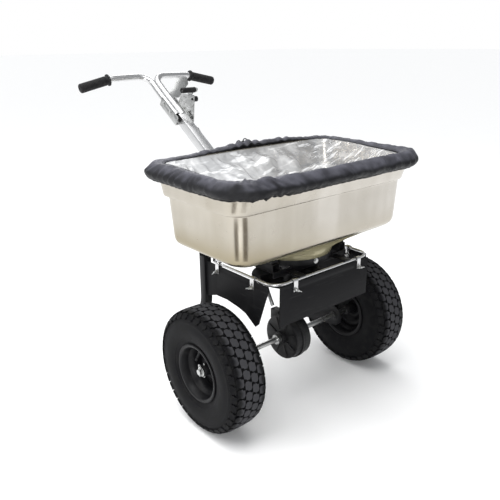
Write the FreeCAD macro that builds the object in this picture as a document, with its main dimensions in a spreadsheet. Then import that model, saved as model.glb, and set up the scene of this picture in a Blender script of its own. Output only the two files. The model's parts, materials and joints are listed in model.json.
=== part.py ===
import FreeCAD, Part
import Sketcher
import math
import os
import re

# Walk-behind broadcast spreader with side and front deflectors, in millimetres.
# Everything is drawn about the axle: y = 0 is the axle line, -Y is the front, +Y is
# the side that the user pushes from, and z = 0 is the ground. Each sub-part is then
# placed so that the origin lies on the ground in the middle of the machine's length.

SIZES = {
    # wheels and axle
    "wheel_radius": 178, "wheel_offset": 296, "tyre_half_width": 59, "tread_half_width": 46,
    "tyre_wall": 8, "bead_radius": 76, "bead_half_width": 48, "rim_wall": 2.5,
    "rim_flange_radius": 84, "hub_radius": 16, "hub_length": 62, "axle_radius": 8,
    "axle_half_length": 340, "running_gap": 0.05, "pin_radius": 2.5,
    # gear case and drive
    "case_radius": 68, "case_flange_radius": 72, "case_half_width": 28, "case_wall": 4,
    "boss_radius": 20, "boss_reach": 40, "neck_radius": 17, "neck_top": 262,
    "shaft_radius": 6, "crown_radius": 45, "crown_teeth": 36, "pinion_teeth": 12,
    "tooth_width": 3, "collar_radius": 15, "collar_length": 12,
    # spreading disc and agitator
    "disc_radius": 112, "disc_height": 376, "disc_thickness": 3, "vane_height": 18,
    "vane_count": 6, "shaft_top": 524, "agitator_reach": 62,
    # deflector rod and sheets
    "rod_radius": 4, "rod_half_width": 190, "rod_half_depth": 140, "rod_corner": 38,
    "rod_height": 433, "sheet": 2, "front_sheet_half": 176, "front_sheet_bottom": 315,
    "sheet_top": 429, "side_sheet_front": 124, "side_sheet_back": 143,
    "clip_width": 15, "clip_drop": 28, "strap": 1.5, "bolt_radius": 3,
    # frame
    "tube": 25, "tube_wall": 2, "deck_bottom": 441, "rail_offset": 132, "rail_front": 84,
    "leg_offset": 190, "leg_setback": 158, "knee_height": 300, "foot_setback": 230,
    "foot_height": 14, "plate": 5, "plate_round": 33,
    # hopper
    "rim_top": 724, "rim_half": 336, "rim_front": 178, "rim_back": 198, "band_bottom": 643,
    "band_half": 327.5, "band_front": 155, "band_back": 179, "band_step": 11,
    "floor_edge": 512, "floor_half": 310, "floor_front": 145, "floor_back": 156,
    "outlet_height": 482, "outlet_radius": 118, "hopper_wall": 2, "hopper_corner": 48,
    "port_radius": 14, "port_circle": 60, "port_spacing": 56, "skirt_bottom": 448,
    "shutter_radius": 106, "shutter_top": 476.5, "shutter_thickness": 4, "cup_wall": 4,
    # rain cover
    "cover_half": 355, "cover_front": 204, "cover_back": 207, "cover_skirt_bottom": 684,
    "cover_top": 730, "cover_corner": 80, "cover_wall": 6, "window_half": 312,
    "window_front": 136, "window_back": 176, "window_corner": 40, "window_thickness": 4,
    # handle
    "bar_radius": 11, "bar_wall": 1.6, "bar_gap": 11.3, "bar_height": 910, "grip_setback": 712,
    "grip_inner": 152, "grip_outer": 266, "grip_drop": 25, "grip_radius": 15,
    "grip_flange_radius": 19.5, "stem_slope_start": 625, "joint_setback": 585,
    "joint_height": 823, "stem_fall": 0.686, "bars_end": 540, "stem_end": 532, "stem_tube": 32,
     "stem_foot_setback": 207, "stem_foot_top": 565,
    # controls
    "gauge_plate": 3, "lever_pivot_setback": 553, "lever_pivot_height": 829,
    "lever_reach": 66, "lever_lean": 136, "lever_bar": 4, "lever_grip_radius": 9,
    "lever_grip_length": 54, "lever_grip_start": 12, "cable_radius": 3, "knob_radius": 9,
}

doc = FreeCAD.newDocument("Spreader")
sheet = doc.addObject("Spreadsheet::Sheet", "Sizes")
for row, (alias, number) in enumerate(SIZES.items(), start=1):
    sheet.set(f"A{row}", alias)
    sheet.set(f"B{row}", str(number))
    sheet.setAlias(f"B{row}", alias)
doc.recompute()

V = FreeCAD.Vector
UPRIGHT = FreeCAD.Rotation()
ALONG_X = FreeCAD.Rotation(V(0, 1, 0), 90)
ALONG_Y = FreeCAD.Rotation(V(1, 0, 0), -90)
TURNED = {"z": UPRIGHT, "x": ALONG_X, "y": ALONG_Y}
SHIFT = "(grip_setback + grip_flange_radius - cover_front) / 2"
subparts = []
places = {}


def formula(text):
    """A sheet formula: every alias in the text gets the sheet's name in front."""
    return re.sub(r"[a-z_]+", lambda word: f"Sizes.{word[0]}" if word[0] in SIZES else word[0], str(text))


def size(text):
    """The number that a formula gives now."""
    return float(sheet.evalExpression(formula(text)))


def bind(item, **sizes):
    for name, text in sizes.items():
        item.setExpression(name, formula(text))
    return item


def put(item, place, rotation=UPRIGHT):
    """Put an object at three formulas."""
    item.Placement = FreeCAD.Placement(V(*[size(text) for text in place]), rotation)
    for axis, text in zip("xyz", place):
        item.setExpression(f"Placement.Base.{axis}", formula(text))
    places[item.Name] = place[1]
    return item


def box(lengths, corner):
    item = doc.addObject("Part::Box", "Box")
    bind(item, Length=lengths[0], Width=lengths[1], Height=lengths[2])
    return put(item, corner)


def centred_box(lengths, centre, rotation=UPRIGHT):
    """A box about its middle; a turned one is turned about its middle too."""
    item = doc.addObject("Part::Box", "Box")
    bind(item, Length=lengths[0], Width=lengths[1], Height=lengths[2])
    half = V(*[size(text) / 2 for text in lengths])
    middle = V(*[size(text) for text in centre])
    item.Placement = FreeCAD.Placement(middle - rotation.multVec(half), rotation)
    places[item.Name] = f"{item.Placement.Base.y}"
    if rotation.isSame(UPRIGHT, 1e-9):
        put(item, [f"({place}) - ({length}) / 2" for place, length in zip(centre, lengths)])
    return item


def rod(radius, length, start, along="z"):
    """A round bar that runs from its start along one axis."""
    item = doc.addObject("Part::Cylinder", "Rod")
    bind(item, Radius=radius, Height=length)
    return put(item, start, TURNED[along])


def fuse(*items):
    item = doc.addObject("Part::MultiFuse", "Fusion")
    item.Shapes = list(items)
    return item


def cut(base, *tools):
    item = doc.addObject("Part::Cut", "Cut")
    item.Base = base
    item.Tool = tools[0] if len(tools) == 1 else fuse(*tools)
    return item


def common(first, second):
    item = doc.addObject("Part::Common", "Common")
    item.Base = first
    item.Tool = second
    return item


def pipe(outer, inner, length, start, along="z"):
    return cut(rod(outer, length, start, along), rod(inner, length, start, along))


def solid(shape):
    """An object for a shape that only Part's own functions make."""
    item = doc.addObject("Part::Feature", "Form")
    item.Shape = shape
    return item


def keep(label, item):
    """Name a sub-part and move it from the axle's frame to the machine's frame."""
    item.Label = label
    old = places.get(item.Name, "0")
    item.setExpression("Placement.Base.y", formula(f"{old} - {SHIFT}"))
    subparts.append(item)
    return item


# ---- PartDesign helpers -------------------------------------------------------------

def new_body(name):
    return doc.addObject("PartDesign::Body", name)


def sketch_on(body, plane, height=None):
    sketch = body.newObject("Sketcher::SketchObject", "Sketch")
    origin_plane = [part for part in body.Origin.OriginFeatures if part.Role == plane][0]
    sketch.AttachmentSupport = [(origin_plane, "")]
    sketch.MapMode = "FlatFace"
    if height is not None:
        sketch.AttachmentOffset = FreeCAD.Placement(V(0, 0, size(height)), UPRIGHT)
        sketch.setExpression("AttachmentOffset.Base.z", formula(height))
    return sketch


def measure(sketch, kind, geometry, point, text):
    """Bind one coordinate of a point to a formula."""
    index = sketch.addConstraint(Sketcher.Constraint(kind, -1, 1, geometry, point, size(text)))
    sketch.setExpression(f"Constraints[{index}]", formula(text))


def polygon(sketch, corners):
    """A closed outline whose every corner is bound to two formulas."""
    points = [V(size(first), size(second), 0) for first, second in corners]
    start = sketch.GeometryCount
    count = len(points)
    for index in range(count):
        sketch.addGeometry(Part.LineSegment(points[index], points[(index + 1) % count]))
    for index in range(count):
        following = start + (index + 1) % count
        sketch.addConstraint(Sketcher.Constraint("Coincident", start + index, 2, following, 1))
    for index, (first, second) in enumerate(corners):
        measure(sketch, "DistanceX", start + index, 1, first)
        measure(sketch, "DistanceY", start + index, 1, second)


def circle(sketch, centre, radius):
    middle = V(size(centre[0]), size(centre[1]), 0)
    index = sketch.addGeometry(Part.Circle(middle, V(0, 0, 1), size(radius)))
    measure(sketch, "DistanceX", index, 3, centre[0])
    measure(sketch, "DistanceY", index, 3, centre[1])
    number = sketch.addConstraint(Sketcher.Constraint("Radius", index, size(radius)))
    sketch.setExpression(f"Constraints[{number}]", formula(radius))


def pad(body, sketch, length):
    feature = body.newObject("PartDesign::Pad", "Pad")
    feature.Profile = sketch
    return bind(feature, Length=length)


def turned(name, corners, round_edges=()):
    """A body turned about the X axis; corners are (along the axis, radius)."""
    body = new_body(name)
    sketch = sketch_on(body, "XZ_Plane")
    polygon(sketch, corners)
    feature = body.newObject("PartDesign::Revolution", "Revolution")
    feature.Profile = sketch
    feature.ReferenceAxis = (sketch, ["H_Axis"])
    feature.Angle = 360
    doc.recompute()
    for radius, test in round_edges:
        feature = rounded(body, feature, radius, test)
    return body


def rounded(body, feature, radius, test):
    """Round the edges of a feature whose middle passes the test."""
    names = [
        f"Edge{number}"
        for number, edge in enumerate(feature.Shape.Edges, start=1)
        if not edge.Degenerated and test(edge)
    ]
    fillet = body.newObject("PartDesign::Fillet", "Fillet")
    fillet.Base = (feature, names)
    bind(fillet, Radius=radius)
    doc.recompute()
    return fillet


def plate(name, plane, corners, thickness, holes=()):
    """A flat sheet: an outline with round holes, padded off one of the main planes."""
    body = new_body(name)
    sketch = sketch_on(body, plane)
    polygon(sketch, corners)
    for centre, radius in holes:
        circle(sketch, centre, radius)
    pad(body, sketch, thickness)
    return body


def rounded_rectangle(sketch, half_width, front, back, corner):
    """Four straight sides and four equal round corners, every size bound."""
    half, low, high, turn = size(half_width), -size(front), size(back), size(corner)
    centres = [(half - turn, high - turn), (turn - half, high - turn),
               (turn - half, low + turn), (half - turn, low + turn)]
    arcs = []
    for index, (across, along) in enumerate(centres):
        ring = Part.Circle(V(across, along, 0), V(0, 0, 1), turn)
        arc = Part.ArcOfCircle(ring, index * math.pi / 2, (index + 1) * math.pi / 2)
        arcs.append(sketch.addGeometry(arc))
    lines = []
    for index in range(4):
        first = sketch.Geometry[arcs[index]].EndPoint
        second = sketch.Geometry[arcs[(index + 1) % 4]].StartPoint
        lines.append(sketch.addGeometry(Part.LineSegment(first, second)))
    for index in range(4):
        sketch.addConstraint(Sketcher.Constraint("Tangent", arcs[index], 2, lines[index], 1))
        sketch.addConstraint(Sketcher.Constraint("Tangent", lines[index], 2, arcs[(index + 1) % 4], 1))
        direction = "Horizontal" if index % 2 == 0 else "Vertical"
        sketch.addConstraint(Sketcher.Constraint(direction, lines[index]))
        if index:
            sketch.addConstraint(Sketcher.Constraint("Equal", arcs[0], arcs[index]))
    number = sketch.addConstraint(Sketcher.Constraint("Radius", arcs[0], turn))
    sketch.setExpression(f"Constraints[{number}]", formula(corner))
    measure(sketch, "DistanceY", lines[0], 1, back)
    measure(sketch, "DistanceX", lines[1], 1, f"-({half_width})")
    measure(sketch, "DistanceY", lines[2], 1, f"-({front})")
    measure(sketch, "DistanceX", lines[3], 1, half_width)


def loft(body, kind, sections):
    """A straight loft through rounded rectangles, each (height, half, front, back, corner)."""
    sketches = []
    for height, half, front, back, corner in sections:
        sketch = sketch_on(body, "XY_Plane", height)
        rounded_rectangle(sketch, half, front, back, corner)
        sketches.append(sketch)
    feature = body.newObject(f"PartDesign::{kind}", "Loft")
    feature.Profile = sketches[0]
    feature.Sections = sketches[1:]
    feature.Ruled = True
    doc.recompute()
    return feature


# ---- bent tubes -----------------------------------------------------------------------

def rounded_route(points, bends):
    """A wire of straight runs joined by tangent arcs; one bend radius per inner point."""
    edges = []
    start = points[0]
    for before, corner, after, radius in zip(points, points[1:], points[2:], bends):
        back = (before - corner).normalize()
        ahead = (after - corner).normalize()
        half_angle = back.getAngle(ahead) / 2
        reach = radius / math.tan(half_angle)
        middle = corner + (back + ahead).normalize() * (radius / math.sin(half_angle) - radius)
        edges.append(Part.LineSegment(start, corner + back * reach).toShape())
        edges.append(Part.Arc(corner + back * reach, middle, corner + ahead * reach).toShape())
        start = corner + ahead * reach
    edges.append(Part.LineSegment(start, points[-1]).toShape())
    return Part.Wire(edges)


def swept(route, radius):
    """A round bar along a route."""
    first = route.Edges[0]
    start = first.valueAt(first.FirstParameter)
    ring = Part.Wire([Part.Circle(start, first.tangentAt(first.FirstParameter), radius).toShape()])
    return route.makePipeShell([ring], True, False)


def swept_square(route, side):
    """A square bar along a route that lies in a plane of constant x."""
    first = route.Edges[0]
    start = first.valueAt(first.FirstParameter)
    across = V(side / 2, 0, 0)
    up = first.tangentAt(first.FirstParameter).cross(V(1, 0, 0)).normalize() * (side / 2)
    corners = [start + across + up, start - across + up, start - across - up, start + across - up]
    ring = Part.makePolygon(corners + corners[:1])
    return route.makePipeShell([ring], True, False)


# ---- wheels and axle ------------------------------------------------------------------

def tyre(label, offset):
    body = turned(label + "_body", [
        ("-bead_half_width", "bead_radius"), ("-bead_half_width", "bead_radius + 11"),
        ("-tyre_half_width", "bead_radius + 36"), ("-tyre_half_width", "wheel_radius - 42"),
        ("-tread_half_width", "wheel_radius"), ("tread_half_width", "wheel_radius"),
        ("tyre_half_width", "wheel_radius - 42"), ("tyre_half_width", "bead_radius + 36"),
        ("bead_half_width", "bead_radius + 11"), ("bead_half_width", "bead_radius"),
        ("bead_half_width - tyre_wall", "bead_radius"),
        ("tyre_half_width - tyre_wall", "bead_radius + 38"),
        ("tyre_half_width - tyre_wall", "wheel_radius - 42"),
        ("tread_half_width - tyre_wall", "wheel_radius - 9"),
        ("tyre_wall - tread_half_width", "wheel_radius - 9"),
        ("tyre_wall - tyre_half_width", "wheel_radius - 42"),
        ("tyre_wall - tyre_half_width", "bead_radius + 38"),
        ("tyre_wall - bead_half_width", "bead_radius"),
    ], [
        (14, lambda edge: is_ring(edge, size("wheel_radius"), size("tread_half_width"))),
        (22, lambda edge: is_ring(edge, size("wheel_radius - 42"), size("tyre_half_width"))),
        (22, lambda edge: is_ring(edge, size("bead_radius + 36"), size("tyre_half_width"))),
    ])
    keep(label, put(body, (offset, "0", "wheel_radius")))


def is_ring(edge, radius, reach):
    """Whether an edge is a full circle of that radius, that far along the axis either way."""
    if not isinstance(edge.Curve, Part.Circle):
        return False
    same_radius = abs(edge.Curve.Radius - radius) < 0.01
    return same_radius and abs(abs(edge.Curve.Center.x) - reach) < 0.01


def rim(label, side, bore):
    barrel = turned(label + "_barrel", [
        ("-bead_half_width - 3", "rim_flange_radius"), ("-bead_half_width - 0.3", "rim_flange_radius"),
        ("-bead_half_width - 0.3", "bead_radius - 0.3"), ("-26", "bead_radius - 0.3"),
        ("-20", "bead_radius - 12"), ("20", "bead_radius - 12"), ("26", "bead_radius - 0.3"),
        ("bead_half_width + 0.3", "bead_radius - 0.3"), ("bead_half_width + 0.3", "rim_flange_radius"),
        ("bead_half_width + 3", "rim_flange_radius"),
        ("bead_half_width + 3", "bead_radius - 0.3 - rim_wall"), ("28", "bead_radius - 0.3 - rim_wall"),
        ("22", "bead_radius - 12 - rim_wall"), ("-22", "bead_radius - 12 - rim_wall"),
        ("-28", "bead_radius - 0.3 - rim_wall"), ("-bead_half_width - 3", "bead_radius - 0.3 - rim_wall"),
    ])
    # The dish bulges outwards around the hub.
    dish = turned(label + "_dish", [
        (f"{side} * 6", "hub_radius - 1"), (f"{side} * 6", "36"), (f"{side} * -6", "52"),
        (f"{side} * -6", "bead_radius - 13.5"), (f"{side} * -9", "bead_radius - 13.5"),
        (f"{side} * -9", "51"), (f"{side} * 3", "35"), (f"{side} * 3", "hub_radius - 1"),
    ])
    hub = rod("hub_radius", "hub_length", ("-hub_length / 2", "0", "0"), "x")
    hole = rod(bore, "hub_length", ("-hub_length / 2", "0", "0"), "x")
    tools = [hole]
    for index in range(4):
        turn = math.radians(45 + 90 * index)
        tools.append(rod("6", "30", ("-10", f"{44 * math.cos(turn)}", f"{44 * math.sin(turn)}"), "x"))
    if label == "drive_rim":
        tools.append(rod("pin_radius + running_gap", "60", (f"{side} * 24", "0", "-30"), "z"))
    wheel = cut(fuse(barrel, dish, hub), *tools)
    put(wheel, (f"{side} * wheel_offset", "0", "wheel_radius"))
    keep(label, wheel)


def wheels_and_axle():
    tyre("drive_tyre", "-wheel_offset")
    tyre("free_tyre", "wheel_offset")
    rim("drive_rim", -1, "axle_radius")
    rim("free_rim", 1, "axle_radius + 3")
    pin_place = "wheel_offset + 24"
    bar = rod("axle_radius", "axle_half_length * 2", ("-axle_half_length", "0", "wheel_radius"), "x")
    holes = [
        rod("pin_radius + running_gap", "30", (f"-({pin_place})", "0", "wheel_radius - 15"), "z"),
        rod("1.7", "30", ("-axle_half_length + 5", "0", "wheel_radius - 15"), "z"),
        rod("1.7", "30", ("axle_half_length - 5", "0", "wheel_radius - 15"), "z"),
    ]
    keep("axle", cut(bar, *holes))
    keep("drive_pin", rod("pin_radius", "44", (f"-({pin_place})", "0", "wheel_radius - 22"), "z"))
    washers, cotters, collars, bushes = [], [], [], []
    for side in (-1, 1):
        outer_end = f"{side} * (wheel_offset + hub_length / 2 + {3.3 if side < 0 else 5.3})"
        washers.append(pipe("14", "axle_radius", "2", (f"{outer_end} - 1", "0", "wheel_radius"), "x"))
        place = f"{side} * (axle_half_length - 5)"
        shank = rod("1.6", "28", (place, "0", "wheel_radius - 14"), "z")
        head = pipe("5.5", "2.6", "3", (f"{place} - 1.5", "0", "wheel_radius + 18.5"), "x")
        cotters.append(fuse(shank, head))
        start = "boss_reach + 1" if side > 0 else "-boss_reach - 1 - collar_length"
        place = (start, "0", "wheel_radius")
        collars.append(pipe("collar_radius", "axle_radius", "collar_length", place, "x"))
    keep("axle_washers", fuse(*washers))
    keep("cotter_pins", fuse(*cotters))
    keep("axle_collars", fuse(*collars))
    ends = (("wheel_offset - hub_length / 2 - 2", "wheel_offset - hub_length / 2 - 3"),
            ("wheel_offset + hub_length / 2 - 24", "wheel_offset + hub_length / 2 + 0.3"))
    for sleeve_at, lip_at in ends:
        sleeve = rod("axle_radius + 2.9", "26", (sleeve_at, "0", "wheel_radius"), "x")
        lip = rod("13", "2.7", (lip_at, "0", "wheel_radius"), "x")
        bore = rod("axle_radius + running_gap", "60", (f"{sleeve_at} - 20", "0", "wheel_radius"), "x")
        bushes.append(cut(fuse(sleeve, lip), bore))
    keep("wheel_bushes", fuse(*bushes))


# ---- gear case and drive ----------------------------------------------------------------

def gear_case():
    centre = "wheel_radius"
    drum = rod("case_radius", "case_half_width * 2", ("-case_half_width", "0", centre), "x")
    flange = rod("case_flange_radius", "12", ("-6", "0", centre), "x")
    boss = rod("boss_radius", "boss_reach * 2", ("-boss_reach", "0", centre), "x")
    neck = rod("neck_radius", "neck_top - wheel_radius", ("0", "0", centre), "z")
    lug = box(("24", "34", "32"), ("-12", "34", "wheel_radius + 36"))
    hollow = rod("case_radius - case_wall", "(case_half_width - case_wall) * 2",
                 ("case_wall - case_half_width", "0", centre), "x")
    axle_bore = rod("axle_radius + running_gap", "boss_reach * 2", ("-boss_reach", "0", centre), "x")
    shaft_bore = rod("shaft_radius + running_gap", "100", ("0", "0", centre), "z")
    ribs = []
    for index in range(8):
        turn = math.radians(22.5 + 45 * index)
        out = FreeCAD.Rotation(V(1, 0, 0), math.degrees(turn))
        middle = (0, 44 * math.cos(turn), 44 * math.sin(turn))
        ribs.append(centred_box(("case_half_width * 2 + 5", "36", "5"),
                                ("0", f"{middle[1]}", f"wheel_radius + {middle[2]}"), out))
    whole = cut(fuse(drum, flange, boss, neck, lug, *ribs), hollow, axle_bore, shaft_bore)
    for side, word in ((-1, "left"), (1, "right")):
        start = "0" if side > 0 else "-100"
        half = common(whole, box(("100", "200", "240"), (start, "-100", "wheel_radius - 100")))
        keep(f"gear_case_{word}", half)
    screws = []
    for index in range(6):
        turn = math.radians(60 * index + 15)
        along, up = 58 * math.cos(turn), 58 * math.sin(turn)
        screws.append(rod("4.5", "4", ("case_half_width + 0.05", f"{along}", f"wheel_radius + {up}"), "x"))
    keep("case_screws", fuse(*screws))
    route = rounded_route([V(0, 72, 250), V(0, 92, 286), V(0, 161, 437.5)], [60])
    keep("gear_case_strut", solid(swept(route, 6)))


def toothed(body, plane, height, ring_corners, depth, teeth, axis):
    """One tooth padded on a wheel and repeated around the axis."""
    tooth = sketch_on(body, plane, height)
    polygon(tooth, ring_corners)
    feature = pad(body, tooth, depth)
    doc.recompute()
    pattern = body.newObject("PartDesign::PolarPattern", "PolarPattern")
    pattern.Originals = [feature]
    pattern.Axis = ([part for part in body.Origin.OriginFeatures if part.Role == axis][0], [""])
    pattern.Angle = 360
    bind(pattern, Occurrences=teeth)
    body.Tip = pattern
    doc.recompute()


def crown_gear():
    body = new_body("Crown")
    blank = sketch_on(body, "YZ_Plane")
    circle(blank, ("0", "0"), "crown_radius + 7")
    circle(blank, ("0", "0"), "axle_radius")
    pad(body, blank, "5")
    doc.recompute()
    # The teeth point along +X, and one of them stands at the top, beside the pinion.
    toothed(body, "YZ_Plane", "5", [
        ("-tooth_width / 2", "crown_radius - 7"), ("tooth_width / 2", "crown_radius - 7"),
        ("tooth_width / 2", "crown_radius + 6.5"), ("-tooth_width / 2", "crown_radius + 6.5"),
    ], "6", "crown_teeth", "X_Axis")
    put(body, ("-23", "0", "wheel_radius"))
    keep("crown_gear", body)


def pinion():
    body = new_body("Pinion")
    blank = sketch_on(body, "XY_Plane")
    circle(blank, ("0", "0"), "11")
    circle(blank, ("0", "0"), "shaft_radius")
    pad(body, blank, "14")
    doc.recompute()
    # A gap between two teeth faces the crown gear: the first tooth stands half a pitch off.
    toothed(body, "XY_Plane", "0", [
        ("10.5", "-tooth_width / 2"), ("15.6", "-tooth_width / 2 + 0.6"),
        ("15.6", "tooth_width / 2 - 0.6"), ("10.5", "tooth_width / 2"),
    ], "14", "pinion_teeth", "Z_Axis")
    body.Placement = FreeCAD.Placement(V(0, 0, size("wheel_radius + 38")), FreeCAD.Rotation(V(0, 0, 1), 15))
    body.setExpression("Placement.Base.z", formula("wheel_radius + 38"))
    keep("pinion", body)


def spinner():
    height = "shaft_top - wheel_radius - 24"
    keep("spinner_shaft", rod("shaft_radius", height, ("0", "0", "wheel_radius + 24"), "z"))
    body = new_body("Spinner")
    blank = sketch_on(body, "XY_Plane")
    circle(blank, ("0", "0"), "disc_radius")
    circle(blank, ("0", "0"), "shaft_radius")
    pad(body, blank, "disc_thickness")
    doc.recompute()
    toothed(body, "XY_Plane", "disc_thickness", [
        ("24", "-1.5"), ("disc_radius - 4", "-10"), ("disc_radius - 4", "-7.5"), ("24", "1.5"),
    ], "vane_height", "vane_count", "Z_Axis")
    put(body, ("0", "0", "disc_height"))
    hub = pipe("16", "shaft_radius", "18", ("0", "0", "disc_height - 16"), "z")
    keep("spinner_disc", fuse(body, hub))
    # Two bent wires stir the load above the outlet.
    cross = rod("3", "agitator_reach * 2", ("-agitator_reach", "0", "outlet_height + 22"), "x")
    boss = rod("11", "18", ("0", "0", "outlet_height + 13"), "z")
    tips = [
        rod("3", "18", (f"{side} * (agitator_reach - 3)", "0", "outlet_height + 22"), "z")
        for side in (-1, 1)
    ]
    hole = rod("shaft_radius", "60", ("0", "0", "outlet_height"), "z")
    keep("agitator", cut(fuse(cross, boss, *tips), hole))


# ---- deflectors ---------------------------------------------------------------------------

CLIPS_FRONT = (-120, 134)
CLIPS_SIDE = (-60, 92)


def deflector_rod():
    half, depth, turn = size("rod_half_width"), size("rod_half_depth"), size("rod_corner")
    level = size("rod_height")
    start = V(0, depth, level)
    corners = [
        V(-half, depth, level), V(-half, -depth, level), V(half, -depth, level), V(half, depth, level),
    ]
    route = rounded_route([start, *corners, start], [turn] * 4)
    keep("deflector_rod", solid(swept(route, size("rod_radius"))))


def strap_clip(place, facing):
    """A bent strap over the rod that pinches the sheet's top edge, with one bolt hole.

    It is drawn for a rod along Y with the sheet on its +X side, then turned to face
    the sheet's side."""
    drop = "clip_drop"
    outer_radius = "(rod_radius * 2 + sheet + 0.6) / 2 + strap"
    middle = "sheet / 2 + 0.3"
    arch = cut(
        rod(outer_radius, "clip_width", (middle, "-clip_width / 2", "0"), "y"),
        rod(f"{outer_radius} - strap", "clip_width", (middle, "-clip_width / 2", "0"), "y"),
        box(("40", "clip_width", "40"), ("-20", "-clip_width / 2", "-40")),
    )
    inner_leg = box(("strap", "clip_width", drop), ("-rod_radius - strap", "-clip_width / 2", f"-{drop}"))
    outer_leg = box(("strap", "clip_width", drop),
                    ("rod_radius + sheet + 0.6", "-clip_width / 2", f"-{drop}"))
    hole = rod("bolt_radius + 0.2", "60", ("-30", "0", "5 - clip_drop"), "x")
    clip = cut(fuse(arch, inner_leg, outer_leg), hole)
    screw = fuse(
        rod("bolt_radius", "26", ("-rod_radius - strap - 4", "0", "5 - clip_drop"), "x"),
        rod("5.5", "4", ("-rod_radius - strap - 4", "0", "5 - clip_drop"), "x"),
    )
    nut_start = "rod_radius + sheet + 0.6 + strap"
    wing = cut(
        fuse(
            rod("6", "6", (nut_start, "0", "5 - clip_drop"), "x"),
            centred_box(("7", "26", "4"), (f"{nut_start} + 7.5", "0", "5 - clip_drop")),
        ),
        rod("bolt_radius", "40", ("0", "0", "5 - clip_drop"), "x"),
    )
    turn = FreeCAD.Rotation(V(0, 0, 1), facing)
    for item in (clip, screw, wing):
        item.Placement = FreeCAD.Placement(V(*[size(text) for text in place]), turn)
        for axis, text in zip("xyz", place):
            item.setExpression(f"Placement.Base.{axis}", formula(text))
        places[item.Name] = place[1]
    return clip, screw, wing


def deflectors():
    hole_height = "rod_height + 5 - clip_drop"
    front_holes = [((f"{place}", hole_height), "bolt_radius + 0.2") for place in CLIPS_FRONT]
    front = plate("Front", "XZ_Plane", [
        ("-front_sheet_half", "front_sheet_bottom"), ("front_sheet_half", "front_sheet_bottom"),
        ("front_sheet_half", "sheet_top"), ("-front_sheet_half", "sheet_top"),
    ], "sheet", front_holes)
    keep("front_deflector", put(front, ("0", "-rod_half_depth - rod_radius - 0.3", "0")))
    side_holes = [((f"{place}", hole_height), "bolt_radius + 0.2") for place in CLIPS_SIDE]
    for side, word in ((-1, "left"), (1, "right")):
        sheet_body = plate(f"Side_{word}", "YZ_Plane", [
            ("-side_sheet_front", "sheet_top"), ("-side_sheet_front", "sheet_top - 14"),
            ("-side_sheet_front + 12", "sheet_top - 46"), ("-86", "front_sheet_bottom - 6"),
            ("-72", "front_sheet_bottom - 18"), ("-56", "front_sheet_bottom - 8"),
            ("-30", "front_sheet_bottom + 8"), ("0", "front_sheet_bottom + 15"),
            ("50", "front_sheet_bottom + 21"), ("100", "front_sheet_bottom + 19"),
            ("side_sheet_back", "front_sheet_bottom + 4"), ("side_sheet_back", "sheet_top"),
        ], "sheet", side_holes)
        start = "rod_half_width + rod_radius + 0.3"
        place = start if side > 0 else f"-({start}) - sheet"
        keep(f"{word}_deflector", put(sheet_body, (place, "0", "0")))
    pieces = []
    for place in CLIPS_FRONT:
        pieces.append(strap_clip((f"{place}", "-rod_half_depth", "rod_height"), -90))
    for side, facing in ((-1, 180), (1, 0)):
        for place in CLIPS_SIDE:
            middle = (f"{side} * rod_half_width", f"{place}", "rod_height")
            pieces.append(strap_clip(middle, facing))
    keep("rod_clips", fuse(*[clip for clip, screw, wing in pieces]))
    keep("clip_bolts", fuse(*[item for clip, screw, wing in pieces for item in (screw, wing)]))


# ---- frame ------------------------------------------------------------------------------------

def square_tube(lengths, corner, along):
    """A straight square tube, open at both ends."""
    hollow_lengths = [
        length if axis == along else f"({length}) - tube_wall * 2"
        for axis, length in zip("xyz", lengths)
    ]
    hollow_corner = [
        place if axis == along else f"({place}) + tube_wall"
        for axis, place in zip("xyz", corner)
    ]
    return cut(box(lengths, corner), box(hollow_lengths, hollow_corner))


def frame():
    deck = "deck_bottom"
    back = "leg_setback - tube / 2"
    for side, word in ((-1, "left"), (1, "right")):
        rail = square_tube(("tube", f"{back} + rail_front", "tube"),
                           (f"{side} * rail_offset - tube / 2", "-rail_front", deck), "y")
        keep(f"{word}_rail", rail)
        leg_place = side * size("leg_offset")
        setback, knee, foot = size("leg_setback"), size("knee_height"), size("foot_setback")
        route = rounded_route([
            V(leg_place, setback, size(deck)), V(leg_place, setback, knee),
            V(leg_place, foot, 44), V(leg_place, foot, size("foot_height")),
        ], [80, 60])
        leg = swept_square(route, size("tube")).cut(swept_square(route, size("tube - tube_wall * 2")))
        keep(f"{word}_leg", solid(leg))
        foot_block = box(("tube + 7", "tube + 13", "foot_height"),
                         (f"{side} * leg_offset - tube / 2 - 3.5", "foot_setback - tube / 2 - 6.5", "0"))
        keep(f"{word}_foot", foot_block)
    keep("rear_cross_tube", square_tube(("leg_offset * 2 + tube", "tube", "tube"),
                                        ("-leg_offset - tube / 2", back, deck), "x"))
    # The flat bar joins the rails' front ends and passes under the outlet cup.
    bar = box(("rail_offset * 2 + tube", "plate", "18"),
              ("-rail_offset - tube / 2", "-rail_front - plate", f"{deck} - 13"))
    keep("front_cross_bar", bar)
    thickness = "deck_bottom - rod_height - rod_radius"
    low = "rod_height + rod_radius"
    tabs_front = [
        box(("tube", "rod_half_depth + 3.4 - rail_front - plate", thickness),
            (f"{side} * 90 - tube / 2", "-rod_half_depth - 3.4", low))
        for side in (-1, 1)
    ]
    tabs_back = [
        box(("tube", "24", thickness), (f"{side} * 90 - tube / 2", "rod_half_depth - 4", low))
        for side in (-1, 1)
    ]
    keep("rod_tabs", fuse(*tabs_front, *tabs_back))
    keep("axle_bushes", fuse(*[axle_plate(word, side) for side, word in ((-1, "left"), (1, "right"))]))


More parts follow.
